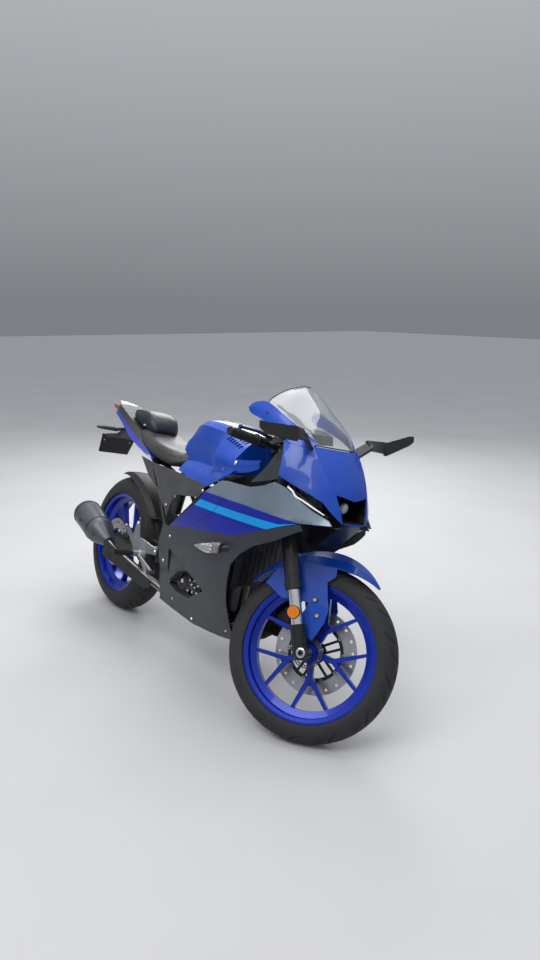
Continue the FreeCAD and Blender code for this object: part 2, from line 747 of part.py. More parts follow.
def make_frame():
    """Twin spars from the head tube round the engine to the pivot, with the nose's stay."""
    # x, y, z, width, height of the left spar
    stations = [
        (HEAD.x - 28, 24, HEAD.z + 24, 30, 56),
        (HEAD.x - 110, 80, HEAD.z - 13, 26, 80),
        (HEAD.x - 285, 122, HEAD.z - 100, 26, 80),
        (60, 124, PIVOT.z + 110, 24, 84),
        (-28, 124, PIVOT.z + 10, 22, 120),
    ]
    spar = solid_loft([box_section(*row) for row in stations], straight=True)
    head_end = HEAD + AXIS_UP * size("head_length")
    head = rod_shape(HEAD, head_end, 30)
    gusset = box_solid((-72, -32, HEAD_LOW + 10), (-6, 32, HEAD_LOW + 92))
    gusset.Placement = FORK_FRAME.multiply(gusset.Placement)
    lower_cross = rod_shape(V(62, -118, PIVOT.z + 120), V(62, 118, PIVOT.z + 120), 16)
    pivot_bolt = rod_shape(V(0, -138, PIVOT.z), V(0, 138, PIVOT.z), 10)
    nose_stay = rod_shape(V(500, 0, 855), V(801.4, 0, 812), 8)
    dial_post = rod_shape(V(662, 0, 832), V(652, 0, 984.6), 6)
    stand_arm = rod_shape(V(-18, 117, PIVOT.z - 38), STAND_PIVOT - STAND_AXIS * 46, 10)
    stand_boss = rod_shape(STAND_PIVOT - STAND_AXIS * 56, STAND_PIVOT - STAND_AXIS * 9.6, 14)
    stand_bolt = rod_shape(STAND_PIVOT - STAND_AXIS * 20, STAND_PIVOT + STAND_AXIS * 12, 6)
    bolt_head = rod_shape(STAND_PIVOT + STAND_AXIS * 9.6, STAND_PIVOT + STAND_AXIS * 15, 10)
    shapes = [spar, spar.mirror(V(0, 0, 0), V(0, 1, 0)), head, gusset, lower_cross, pivot_bolt,
              nose_stay, dial_post, stand_arm, stand_boss, stand_bolt, bolt_head]
    for side in SIDES:
        shapes.append(rod_shape(V(220, side * 116, 690), V(220, side * 116, 777), 8))
    joined = fused(shapes)
    bore = rod_shape(HEAD - AXIS_UP * 60, head_end + AXIS_UP * 60, 15.5)
    eye_room = rod_shape(STAND_PIVOT - STAND_AXIS * 9.4, STAND_PIVOT + STAND_AXIS * 9.4, 19).cut(stand_bolt)
    return shaped("frame", joined.cut(bore).cut(eye_room), "root")


make_frame()
frame_shape = pieces[-1][0].Shape


def make_subframe():
    """Rails that carry the seats and the tail, with a stay to the pivot plates."""
    rails = []
    for side in SIDES:
        top = [V(206, side * 97.5, 668), V(-60, side * 88, 722), V(-320, side * 66, 772),
               V(-600, side * 44, 842)]
        rails.append(bent_tube(top, 11, 120))
        rails.append(rod_shape(V(-10, side * 103.5, 455), V(-330, side * 64, 774), 9))
        rails.append(rod_shape(V(-60, side * 88, 722), V(-60, side * 160, 722), 5))
        near, far = sorted((side * 66, side * 92))
        rails.append(box_solid((-196, near, 740), (-164, far, 761.6)))
    # x, y, z of the cross tubes
    cross_places = [(60, 93, 698), (-60, 88, 722), (-330, 65, 774), (-560, 47, 832)]
    for x, y, z in cross_places:
        rails.append(rod_shape(V(x, -y, z), V(x, y, z), 10))
    return shaped("subframe", fused(rails), "root")


make_subframe()

# The countershaft that the chain runs round
CHAIN_FRONT = V(62, 0, PIVOT.z + 2)


def make_engine():
    """Crankcase, upright cylinder and covers, at their real size and place."""
    crankcase = side_plate([(60, 310), (110, 266), (350, 262), (400, 290), (396, 400), (300, 440),
                            (120, 470), (60, 440)], -104, 104)
    cylinder_block = side_plate([(250, 420), (375, 400), (425, 560), (412, 640), (305, 655), (268, 600)],
                                -80, 80)
    clutch = rod_shape(V(215, -100, 352), V(215, -138, 352), 62)
    water_pump = rod_shape(V(306, -100, 352), V(306, -140, 352), 32)
    generator = rod_shape(V(255, 100, 348), V(255, 138, 348), 62)
    sprocket_well = box_solid((20, 58, 340), (116, 130, 462))
    shaft_end = size("chain_place") + 10
    countershaft = rod_shape(CHAIN_FRONT + V(0, 50, 0), CHAIN_FRONT + V(0, shaft_end, 0), 24.5)
    joined = fused([crankcase, cylinder_block, clutch, water_pump, generator]).cut(sprocket_well)
    mounts = []
    for side in SIDES:
        mounts.append(rod_shape(V(330, side * 78, 600), V(330, side * 108, 640), 10))
    return shaped("engine", fused([joined, countershaft] + mounts), "root")


make_engine()


def make_radiator():
    """The core between its side tanks, with arms that reach the lower fairings."""
    parts = [box_solid((488, -125, 425), (516, 125, 640))]
    for side in SIDES:
        parts.append(box_solid((486, side * 125 - 16, 420), (520, side * 125 + 16, 645)))
        parts.append(rod_shape(V(503, side * 130, 600), V(503, side * 212.6, 600), 6))
        parts.append(rod_shape(V(503, side * 130, 450), V(503, side * 185.5, 450), 6))
    parts.append(rod_shape(V(500, 0, 636), V(500, 0, 676), 7))
    parts.append(rod_shape(V(500, 0, 670), V(424, 70, 734), 6))
    parts.append(rod_shape(V(500, 0, 670), V(424, -70, 734), 6))
    return seated(fused(parts), frame_shape, V(0, 0, -0.3))


radiator_shape = make_radiator()

# Body panels, right and left alike, drawn on the left side


def station_curve(points, x, mirror=1):
    return [V(x, mirror * y, z) for y, z in points]


def side_panel(stations, outline, wall, cuts=()):
    """A side panel: a loft of open outlines at fixed x, trimmed to its side-view outline."""
    sections = [station_curve(points, x) for x, points in stations]
    shell = skin(sections, wall, V(-1, 0, 0))
    trim = side_plate(outline, 20, 320)
    panel = shell.common(trim)
    for cut in cuts:
        panel = panel.cut(side_plate(cut, 20, 320))
    return panel


# Side of the fairing: x, then (y, z) at the foot, knee, belt, crest and top
FAIRING = [
    (-10, [(104, 205), (150, 330), (190, 545), (205, 715), (196, 770)]),
    (160, [(110, 200), (166, 335), (211, 560), (218, 722), (200, 775)]),
    (360, [(112, 205), (178, 350), (220, 595), (222, 734), (204, 790)]),
    (540, [(106, 236), (178, 370), (216, 620), (217, 738), (192, 806)]),
    (680, [(96, 300), (168, 440), (201, 650), (203, 739), (184, 842)]),
    (800, [(84, 380), (138, 520), (166, 670), (166, 736), (146, 815)]),
    (915, [(60, 470), (84, 590), (92, 700), (88, 748), (70, 775)]),
]
SILVER_TOP = [(370, 734), (433, 790), (471, 795), (593, 801), (658, 820), (715, 852), (756, 831),
              (793, 807), (842, 782), (892, 763), (906, 750)]
CREST = [(826, 734), (613, 739), (483, 736)]
BLUE_REAR = [(368, 730), (320, 676), (256, 627), (156, 553)]
BLUE_LOWER = [(267, 577), (300, 580), (577, 625), (694, 675), (826, 730)]
GREY_REAR = [(98, 545), (61, 453), (74, 358), (36, 241), (20, 212)]
GREY_BOTTOM = [(304, 205), (548, 238)]
GREY_ARCH = [(562, 354), (568, 473), (579, 526), (621, 576), (676, 618), (760, 660), (836, 715)]
ENGINE_OPENING = [(141, 321), (237, 396), (301, 420), (406, 387), (424, 377), (307, 312), (202, 306)]


def shifted(outline, rise):
    return [(x, z + rise) for x, z in outline]


half_gap = size("panel_gap") / 2
wall = size("panel_wall")
silver = side_panel(FAIRING, SILVER_TOP + shifted(CREST, half_gap), wall)
shaped("upper_side_panels", both_sides(silver), "root")
crest_low = [(368, 733)] + CREST[::-1]
blue = side_panel(FAIRING, shifted(crest_low, -half_gap) + shifted(BLUE_LOWER[::-1], half_gap)
                  + BLUE_REAR[:0:-1], wall)
shaped("blue_side_panels", both_sides(blue), "root")
grey = side_panel(FAIRING, shifted([(150, 552)] + BLUE_LOWER, -half_gap) + GREY_ARCH[::-1]
                  + GREY_BOTTOM[::-1] + GREY_REAR[::-1], wall, [ENGINE_OPENING])
shaped("lower_fairings", both_sides(grey), "root")
radiator_shape = seated(radiator_shape, grey, V(0, -0.3, 0))
radiator_shape = seated(radiator_shape, grey.mirror(V(0, 0, 0), V(0, 1, 0)), V(0, 0.3, 0))
shaped("radiator", max(radiator_shape.Solids, key=lambda solid: solid.Volume), "root")


def make_belly():
    """The pan under the engine between the two lower fairings."""
    # x, half width, height of its edge, height of its middle
    stations = [(34, 105, 215, 198), (160, 112, 213, 194), (330, 114, 213, 194), (520, 108, 241, 224)]
    sections = []
    for x, half, edge, middle in stations:
        sections.append(station_curve([(-half, edge), (-half * 0.6, middle), (half * 0.6, middle),
                                       (half, edge)], x))
    pan = seated(skin(sections, -wall, V(-1, 0, 0)), grey, V(0, -0.3, 0))
    pan = seated(pan, grey.mirror(V(0, 0, 0), V(0, 1, 0)), V(0, 0.3, 0))
    return shaped("belly_pan", max(pan.Solids, key=lambda solid: solid.Volume), "root")


make_belly()

# Nose cowl, in level sections: height, then (x, y) from the middle to the rear edge
NOSE = [
    (748, [(922, 0), (918, 54), (880, 104), (800, 158), (700, 192)]),
    (790, [(910, 0), (902, 62), (862, 112), (790, 160), (700, 190)]),
    (830, [(894, 0), (882, 70), (836, 122), (780, 160), (700, 188)]),
    (865, [(878, 0), (864, 78), (815, 126), (764, 160), (700, 186)]),
    (905, [(852, 0), (836, 86), (790, 130), (745, 158), (690, 178)]),
    (943, [(822, 0), (802, 94), (762, 128), (724, 150), (680, 166)]),
    (982, [(786, 0), (762, 100), (728, 124), (700, 142), (660, 152)]),
]
NOSE_OUTLINE = [(667, 980), (692, 938), (704, 897), (711, 866), (816, 834), (860, 815), (909, 764),
                (925, 750), (960, 760), (960, 982)]
# The screen meets the cowl along this line, in side view
SCREEN_LINE = [(784, 980), (754, 992), (693, 1031), (600, 1063), (506, 1092)]
LOBE = [
    # x, y and z of the lower edge, y and z of the upper edge
    (444, 151, 1058, 150, 1066),
    (470, 152, 1042, 140, 1088),
    (520, 153, 1032, 130, 1091),
    (610, 154, 1010, 127, 1060),
    (693, 150, 978, 119, 1030),
    (752, 118, 972, 78, 991),
]


def duct_box(scale, ahead):
    """The duct's tapering box, grown about its middle; ahead moves its mouth end forward."""
    mouth = [(-73, 850), (0, 834), (73, 850), (51, 758), (-51, 758)]
    back = [(-62, 838), (0, 828), (62, 838), (46, 768), (-46, 768)]

    def ring(corners, x_low, slope):
        points = []
        for y, z in corners:
            height = 805 + (z - 805) * scale
            points.append(V(x_low - (height - 758) * slope, y * scale, height))
        return polygon(points)
    start = 808 + min(ahead, 8)
    return Part.makeLoft([ring(mouth, 905 + ahead, 0.36), ring(back, start, 0.1)], True, True)


def make_nose():
    sections = []
    for z, half in NOSE:
        right = [V(x, -y, z) for x, y in reversed(half[1:])]
        left = [V(x, y, z) for x, y in half]
        sections.append(right + left)
    hood = skin(sections, size("panel_wall"), V(0, 0, -1))
    hood = hood.common(side_plate(NOSE_OUTLINE, -320, 320))
    return hood.cut(duct_box(1.012, 60))


def make_lobes():
    sections = []
    for x, low_y, low_z, top_y, top_z in LOBE:
        sections.append([V(x, low_y, low_z), V(x, (low_y + top_y) / 2 + 4, (low_z + top_z) / 2),
                         V(x, top_y, top_z)])
    return skin(sections, size("panel_wall"), V(-1, 0, 0))


lobe = make_lobes()
nose_shape = fused([make_nose(), lobe, lobe.mirror(V(0, 0, 0), V(0, 1, 0))])
shaped("nose_cowl", nose_shape, "root")


def make_screen():
    """The windscreen: arcs at rising heights, trimmed by the line where it meets the cowl."""
    # height, x at the middle, x and y at the edge
    stations = [
        (984, 782, 752, 92),
        (1032, 734, 676, 119),
        (1064, 700, 590, 126),
        (1092, 668, 500, 126),
        (1130, 618, 520, 90),
        (1171, 559, 552, 14),
    ]
    thick = 3.2
    wires = []
    for z, middle, edge, half in stations:
        bulge = (middle + edge) / 2 + (middle - edge) * 0.21
        side = half * 0.72
        outer = [V(edge, -half, z), V(bulge, -side, z), V(middle, 0, z), V(bulge, side, z),
                 V(edge, half, z)]
        inner = inset(outer, thick, V(0, 0, -1))
        wires.append(polygon(outer + inner[::-1]))
    shell = outward(Part.makeLoft(wires, True, False))
    line = [(x, z + 0.5) for x, z in SCREEN_LINE]
    return shell.common(side_plate(line + [(500, 1094), (545, 1190), (800, 1190)], -200, 200))


shaped("windscreen", make_screen(), "root")


def make_duct():
    """The black duct in the nose: a tapering box with its back wall, the chin and the undertray."""
    hollow = duct_box(0.93, 8)
    chin = side_plate([(905, 752), (816, 663), (764, 660), (764, 700), (798, 728), (808, 764), (900, 764)],
                      -50, 50)
    tray_outline = [(904, 48), (911, 78), (860, 118), (800, 146), (774, 146), (774, 48)]
    trays = []
    for side in SIDES:
        corners = [V(x, side * y, 743) for x, y in tray_outline]
        trays.append(plate(corners, V(0, 0, 3)))
    joined = fused([duct_box(1.0, 0).cut(hollow), chin] + trays)
    for panel in (silver, silver.mirror(V(0, 0, 0), V(0, 1, 0))):
        joined = seated(joined, panel, V(-0.4, 0, 0))
    joined = seated(joined, nose_shape, V(-0.4, 0, 0))
    joined = seated(joined, frame_shape, V(0.3, 0, 0))
    return max(joined.Solids, key=lambda solid: solid.Volume)


duct_shape = make_duct()
shaped("lamp_duct", duct_shape, "root")


def make_head_lamp():
    """The projector: a barrel from the duct's back wall and a domed lens."""
    barrel = rod_shape(V(806, 0, 801), V(850, 0, 801), 19)
    dome = Part.makeSphere(22, V(842, 0, 801)).common(rod_shape(V(842, 0, 801), V(880, 0, 801), 22))
    lamp = seated(fused([barrel, dome]), duct_shape, V(0.3, 0, 0))
    return shaped("head_lamp", max(lamp.Solids, key=lambda solid: solid.BoundBox.XMax), "root")


make_head_lamp()


def make_position_lamps():
    """A slim lamp each side, in the recess between the cowl and the side panel."""
    # x, y, z, width, height
    stations = [(880, 92, 772, 8, 8), (842, 118, 791, 10, 14), (800, 144, 811, 10, 14),
                (748, 166, 838, 8, 10)]
    lamp = solid_loft([box_section(*row) for row in stations], straight=True)
    lamp = seated(lamp, silver, V(0, 0, 0.4))
    lamp = seated(lamp, nose_shape, V(0, 0, -0.4))
    lamp = max(lamp.Solids, key=lambda solid: solid.Volume)
    return shaped("position_lamps", both_sides(lamp), "root")


make_position_lamps()


def make_inner_panels():
    """The dark triangular panels inside the cowl, ahead of the bars."""
    corners = [V(683, 157, 965), V(646, 164, 926), V(621, 172, 878), V(574, 186, 814), V(706, 182, 854),
               V(700, 172, 897)]
    faces = polygon([V(p.x, 0, p.z) for p in corners])
    trim = Part.Face(faces).extrude(V(0, 320, 0))
    low = [V(560, 190, 800), V(560, 166, 880), V(560, 146, 980)]
    high = [V(720, 184, 800), V(720, 172, 880), V(720, 150, 980)]
    panel = skin([low, high], wall, V(-1, 0, 0), True).common(trim)
    return shaped("inner_panels", both_sides(seated(panel, nose_shape, V(0, -0.4, 0))), "root")


make_inner_panels()


def make_instrument():
    housing = solid_loft([
        [V(640, -62, 985), V(640, 62, 985), V(624, 62, 1030), V(624, -62, 1030)],
        [V(690, -50, 985), V(690, 50, 985), V(680, 50, 1016), V(680, -50, 1016)],
    ], straight=True)
    return shaped("instrument", housing, "root")


make_instrument()


def mirror_unit(lift):
    """One blade-like mirror on its angular stalk, bolted to the cowl; lift raises the blade's tip."""
    foot = solid_loft([
        [V(730, 96, 966), V(762, 96, 950), V(766, 96, 964), V(734, 96, 982)],
        [V(748, 156, 1010), V(776, 156, 1000), V(780, 156, 1014), V(752, 156, 1028)],
    ], straight=True)
    arm = solid_loft([
        [V(782, 146, 1000), V(750, 146, 1030), V(742, 146, 1024), V(774, 146, 996)],
        [V(793, 212, 996), V(779, 212, 1036), V(769, 212, 1034), V(783, 212, 994)],
    ], straight=True)
    blade = solid_loft([
        [V(800, 206, 990), V(790, 206, 1036), V(774, 206, 1034), V(784, 206, 988)],
        [V(789, 322, 1018 + lift), V(781, 322, 1052 + lift), V(769, 322, 1050 + lift),
         V(777, 322, 1016 + lift)],
        [V(785, 347, 1034 + lift), V(781, 347, 1054 + lift), V(771, 347, 1053 + lift),
         V(775, 347, 1033 + lift)],
    ], straight=True)
    unit = seated(fused([foot, arm, blade]), nose_shape, V(0, 0.4, 0.4))
    return max(unit.Solids, key=lambda solid: solid.Volume)


left_mirror = mirror_unit(20)
right_mirror = mirror_unit(-20).mirror(V(0, 0, 0), V(0, 1, 0))
shaped("mirrors", Part.makeCompound([left_mirror, right_mirror]), "root")


def make_tank():
    """The tank shell over the frame, its cover edge and the wings beside the steering head."""
    # x, then (y, z) from the middle to the lower edge
    stations = [
        (-46, [(0, 905), (50, 893), (74, 862), (78, 838), (70, 832)]),
        (30, [(0, 973), (68, 952), (106, 890), (112, 806), (98, 776)]),
        (110, [(0, 985), (86, 966), (130, 892), (126, 800), (112, 775)]),
        (200, [(0, 988), (92, 964), (136, 884), (128, 800), (114, 778)]),
        (290, [(0, 976), (92, 952), (149, 870), (146, 806), (130, 786)]),
        (396, [(0, 946), (80, 926), (142, 860), (142, 826), (126, 812)]),
    ]
    sections = []
    for x, half in stations:
        left = station_curve(half, x)
        right = station_curve(half[1:], x, -1)
        sections.append(right[::-1] + left)
    body = Part.makeLoft([polygon(outline) for outline in sections], True, False)
    return body


def make_tank_nodes():
    shell = make_tank()
    wing_stations = [
        (380, [(146, 812), (150, 838), (146, 858)]),
        (440, [(146, 824), (150, 842), (148, 856)]),
        (500, [(146, 838), (150, 858), (148, 876)]),
        (560, [(146, 862), (149, 878), (147, 892)]),
    ]
    wing = skin([station_curve(points, x) for x, points in wing_stations], 4, V(-1, 0, 0))
    # Skirts that flare from the tank's foot to the side panels, from their lower edge up
    skirt_stations = [
        (20, [(136, 757), (122, 782), (106, 808)]),
        (110, [(146, 757), (136, 780), (122, 808)]),
        (200, [(150, 757), (140, 780), (124, 808)]),
        (300, [(172, 760), (158, 784), (142, 814)]),
        (360, [(188, 780), (166, 800), (140, 826)]),
        (425, [(194, 802), (168, 816), (146, 836)]),
    ]
    skirt = skin([station_curve(points, x) for x, points in skirt_stations], 4, V(-1, 0, 0))
    cap_place = V(150, 0, 0)
    pocket = rod_shape(cap_place + V(0, 0, 970), cap_place + V(0, 0, 1010), 52)
    flaps = [wing, wing.mirror(V(0, 0, 0), V(0, 1, 0)), skirt, skirt.mirror(V(0, 0, 0), V(0, 1, 0))]
    tank = fused([outward(shell).cut(pocket)] + flaps)
    shaped("fuel_tank", tank, "root")
    return tank


CAP_HINGE = V(194, 0, 986.3)


def hinge_bar(half_length, radius):
    return rod_shape(CAP_HINGE - V(0, half_length, 0), CAP_HINGE + V(0, half_length, 0), radius)


def make_cap():
    """The filler ring with two ears and a pin, and the lid that turns on that pin."""
    lid_room = rod_shape(V(150, 0, 978), V(150, 0, 990), 38)
    ring = rod_shape(V(150, 0, 970.3), V(150, 0, 984), 51.5).cut(lid_room)
    ears = [box_solid((191, 8.6, 982), (197, 13, 989.4)), box_solid((191, -13, 982), (197, -8.6, 989.4))]
    ring = fused([ring.cut(hinge_bar(8.6, 4.4))] + ears + [hinge_bar(12, 1.4)])
    shaped("cap_ring", ring, "root")
    lid = fused([rod_shape(V(150, 0, 978.4), V(150, 0, 988), 36), box_solid((150, -7, 985), (194, 7, 988)),
                 hinge_bar(8.2, 3.2)])
    shaped("fuel_cap", lid.cut(hinge_bar(9, 1.7)), "fuel_cap")


tank_shape = make_tank_nodes()
make_cap()


def make_rider_seat():
    # x, half width, edge height, top height, bottom height
    stations = [(-440, 106, 852, 884, 815), (-330, 135, 810, 856, 800), (-180, 151, 774, 836, 764),
                (-60, 140, 768, 826, 758), (20, 100, 800, 834, 775)]
    sections = []
    for x, half, edge, top, bottom in stations:
        outline = [(-half, edge), (-half * 0.72, top - 5), (0, top), (half * 0.72, top - 5), (half, edge),
                   (half * 0.8, bottom), (-half * 0.8, bottom)]
        sections.append(station_curve(outline, x))
    return solid_loft(sections)




def make_pillion_pad():
    stations = [(-600, 58, 926, 944, 900), (-520, 78, 900, 950, 880), (-430, 88, 884, 948, 868),
                (-380, 80, 864, 922, 858), (-345, 56, 852, 872, 850)]
    sections = []
    for x, half, edge, top, bottom in stations:
        outline = [(-half, edge), (-half * 0.7, top - 4), (0, top), (half * 0.7, top - 4), (half, edge),
                   (half * 0.8, bottom), (-half * 0.8, bottom)]
        sections.append(station_curve(outline, x))
    return solid_loft(sections)


pillion = make_pillion_pad()
shaped("pillion_pad", pillion, "root")
rider_seat = seated(make_rider_seat(), pillion, V(0.4, 0, -0.4))
rider_seat = seated(rider_seat, tank_shape, V(-0.4, 0, -0.4))
rails = [item.Shape for item, _, _ in pieces if item.Label == "subframe"][0]
rider_seat = seated(rider_seat, rails, V(0, 0, 0.3))
rider_seat = max(rider_seat.Solids, key=lambda solid: solid.Volume)
shaped("rider_seat", rider_seat, "root")


def make_tail():
    """The tail cowl under the pads, with its pointed tips."""
    # x, half width at the top edge, top edge, half width low, low edge, bottom
    stations = [(-830, 18, 962, 16, 950, 946), (-722, 62, 944, 82, 902, 888),
                (-640, 76, 922, 98, 882, 858), (-520, 84, 884, 122, 845, 820),
                (-400, 92, 850, 142, 812, 790), (-176, 104, 774, 156, 764, 742)]
    wires = []
    for x, top_half, top, low_half, low, bottom in stations:
        outline = [(-top_half, top), (-low_half, low), (-low_half * 0.8, bottom), (low_half * 0.8, bottom),
                   (low_half, low), (top_half, top)]
        wires.append(polygon(station_curve(outline, x)))
    solid = Part.makeLoft(wires, True, False)
    return solid


tail_lamp = solid_loft([
    [V(-846, -44, 938), V(-846, 44, 938), V(-840, 38, 922), V(-840, -38, 922)],
    [V(-760, -52, 934), V(-760, 52, 934), V(-760, 46, 908), V(-760, -46, 908)],
], straight=True)
tail_block = outward(make_tail())
for other, step in ((pillion, V(0, 0, -0.4)), (rider_seat, V(0, 0, -0.4)), (rails, V(0, 0, 0.4)),
                    (tail_lamp, V(0.4, 0, 0)), (tank_shape, V(-0.4, 0, 0))):
    tail_block = seated(tail_block, other, step)
shaped("tail_cowl", max(tail_block.Solids, key=lambda solid: solid.Volume), "root")
shaped("tail_lamp", tail_lamp, "root")

SIDE_COVER = [(-264, 760), (-158, 694), (-71, 660), (21, 593), (44, 565), (62, 617), (90, 665), (250, 690),
              (266, 720), (274, 742), (60, 752), (-107, 752)]
COVER_STATIONS = [
    (-270, [(150, 540), (156, 660), (152, 770)]),
    (-60, [(160, 540), (168, 660), (160, 770)]),
    (120, [(162, 540), (170, 660), (158, 770)]),
    (280, [(160, 540), (166, 680), (154, 770)]),
]
shaped("side_covers", both_sides(side_panel(COVER_STATIONS, SIDE_COVER, wall,
                                            [[(-139, 729), (-128, 729), (-52, 668), (-66, 668)]])), "root")


# Where a paddock stand's bobbins screw in, below the silencer
BOBBIN_X = REAR_AXLE.x + 44
BOBBIN_Z = REAR_AXLE.z - 1


def make_swingarm():
    """Two box-section arms with a cross brace, the rear axle through their ends."""
    # x, y, z, width, height of the left arm
    stations = [(10, 100, PIVOT.z, 20, 56), (-120, 107, PIVOT.z - 8, 24, 66),
                (-330, 108, PIVOT.z - 50, 24, 58), (REAR_AXLE.x - 40, 108, REAR_AXLE.z, 22, 44)]
    arm = solid_loft([box_section(*row) for row in stations], straight=True)
    brace = box_solid((-92, -100, PIVOT.z - 26), (-48, 100, PIVOT.z + 12))
    shock_lug = box_solid((-76, -14, PIVOT.z + 10), (-42, 14, PIVOT.z + 25.9))
    pivot_tube = rod_shape(V(0, -100, PIVOT.z), V(0, 100, PIVOT.z), 19)
    axle = rod_shape(REAR_AXLE + V(0, -134, 0), REAR_AXLE + V(0, 134, 0), size("axle_radius"))
    shapes = [arm, arm.mirror(V(0, 0, 0), V(0, 1, 0)), brace, shock_lug, pivot_tube, axle]
    joined = fused(shapes).cut(rod_shape(V(0, -140, PIVOT.z), V(0, 140, PIVOT.z), 10 + size("running_gap")))
    for side in SIDES:
        start = V(BOBBIN_X, side * 121, BOBBIN_Z)
        boss = rod_shape(start - V(0, side * 4, 0), start + V(0, side * 6, 0), 12)
        hole = rod_shape(start - V(0, side * 14, 0), start + V(0, side * 7, 0), size("paddock_hole_radius"))
        joined = joined.fuse(boss).cut(hole)
    return shaped("swingarm", joined, "root")


make_swingarm()


def make_shock():
    """Spring and damper between the linkage and the frame, with its reservoir."""
    low = V(-58, 0, 432)
    high = V(56, 0, 688.5)
    along = high - low
    along.normalize()
    parts = [rod_shape(low, high, 14), rod_shape(low + along * 26, high - along * 42, 30),
             rod_shape(high - along * 40, high - along * 4, 26),
             rod_shape(V(-78, -46, 560), V(-60, -46, 650), 22),
             rod_shape(V(-66, -46, 640), high - along * 22, 7)]
    return shaped("rear_shock", fused(parts), "root")


make_shock()


def make_hugger():
    """A short mudguard over the front of the rear tyre, carried by the swingarm."""
    # angle from ahead, radius at the middle, at the edge, half width
    stations = [(8, 330, 322, 54), (26, 333, 320, 62), (44, 335, 318, 80), (75, 336, 318, 84),
                (100, 334, 322, 70)]
    sections = []
    for angle, crown, edge_radius, half in stations:
        turn = math.radians(angle)
        out = V(math.cos(turn), 0, math.sin(turn))
        profile = [(-half, edge_radius), (-half * 0.7, crown - 3), (0, crown), (half * 0.7, crown - 3),
                   (half, edge_radius)]
        sections.append([REAR_AXLE + out * radius + V(0, across, 0) for across, radius in profile])
    wires = []
    for outline in sections:
        up = outline[2] - REAR_AXLE
        up.normalize()
        outer = [point + up * wall for point in outline]
        wires.append(polygon(outline + outer[::-1]))
    cover = Part.makeLoft(wires, True, False)
    bridge = []
    for side in SIDES:
        inner = side * 38
        outer = side * 92.4
        bridge.append(box_solid((-222, min(inner, outer), 492), (-204, max(inner, outer), 500)))
    ear = side_plate([(-200, 372), (-166, 372), (-180, 470), (-200, 510), (-222, 510)], 90, 92.4)
    ears = [ear, ear.mirror(V(0, 0, 0), V(0, 1, 0))] + bridge
    feet = []
    for side in SIDES:
        feet.append(rod_shape(V(-180, side * 91, 380), V(-180, side * 94.6, 380), 6))
    return shaped("rear_hugger", fused([cover] + ears + feet), "root")


make_hugger()


# The silencer's axis, front to rear, and the header's start square to the cylinder's front face
SILENCER_FRONT = V(-338, -198, 350)
SILENCER_REAR = V(-600, -214, 436)
SILENCER_LINE = SILENCER_REAR - SILENCER_FRONT
SILENCER_LINE.normalize()
PORT_FACE = V(420.4, -6, 545)
PORT_LINE = V(0.9545, 0, -0.2983)


def make_exhaust():
    """The header from the cylinder head, under the engine and up to the silencer."""
    route = [PORT_FACE + PORT_LINE * 0.4, PORT_FACE + PORT_LINE * 32, V(446, -14, 300), V(380, -30, 236),
             V(200, -60, 234), V(60, -86, 236), V(-120, -150, 290), SILENCER_FRONT - SILENCER_LINE * 60,
             SILENCER_FRONT - SILENCER_LINE * 0.4]
    pipe = bent_tube(route, 16, 26)
    # The guard: a slanted plate outside the pipe and the footrest bracket, on two studs
    corners = []
    for x, z in [(-318, 300), (-20, 240), (16, 262), (12, 284), (-60, 298), (-205, 340), (-318, 372)]:
        corners.append(V(x, -159 - (16 - x) * 0.206, z))
    guard = plate(corners, V(0, -3, 0))
    studs = []
    for x, pipe_y, z in [(-30, -118, 263), (-200, -172, 311)]:
        studs.append(rod_shape(V(x, pipe_y, z), V(x, -160 - (16 - x) * 0.206, z), 5))
    return shaped("exhaust_pipe", fused([pipe, guard] + studs), "root")


make_exhaust()


def make_silencer():
    """A short silencer with a tapered front and a dished end cap, turned about its own axis."""
    body = document.addObject("PartDesign::Body", "silencer")
    length = 268
    section = [(0, 0), (24, 0), (34, 26), (60, 84), (64, 110), (64, 244), (58, 262), (40, length),
               (30, length - 14), (0, length - 14)]
    sketch = new_sketch(body, "silencer_sketch", "XZ_Plane")
    draw_polygon(sketch, section)
    turned = body.newObject("PartDesign::Revolution", "silencer_turned")
    turned.Profile = sketch
    turned.ReferenceAxis = (origin_plane(body, "Z_Axis"), [""])
    turned.Angle = 360
    place = FreeCAD.Placement(SILENCER_FRONT, FreeCAD.Rotation(V(0, 0, 1), SILENCER_LINE))
    return keep(body, "silencer", "root", place)


make_silencer()
BRACKET = [(-175, 492), (-150, 496), (-128, 430), (19, 420), (26, 396), (-60, 380), (-70, 352), (-20, 312),
           (-40, 300), (-96, 344), (-144, 352), (-250, 430), (-280, 444), (-268, 458), (-190, 424)]


def make_rearsets():
    """Cast footrest brackets with heel guards and pedals, bolted outside the pivot plates."""
    plate_shape = side_plate(BRACKET, 158, 166)
    spacer = rod_shape(V(-10, 135.4, 412), V(-10, 160, 412), 12)
    peg_block = rod_shape(V(-112, 164, 366), V(-112, 200, 366), 14)
    pedal = fused([rod_shape(V(-112, 174, 366), V(44, 182, 330), 6),
                   rod_shape(V(44, 172, 330), V(44, 212, 330), 7)])
    bracket = seated(fused([plate_shape, spacer, peg_block, pedal]), frame_shape, V(0, 0.3, 0))
    return shaped("rearsets", both_sides(bracket), "root")


make_rearsets()


def make_pegs():
    peg = fused([rod_shape(V(-112, 201, 366), V(-112, 288, 370), 12),
                 rod_shape(V(-112, 280, 370), V(-132, 296, 340), 3)])
    return shaped("foot_pegs", both_sides(peg), "root")


make_pegs()


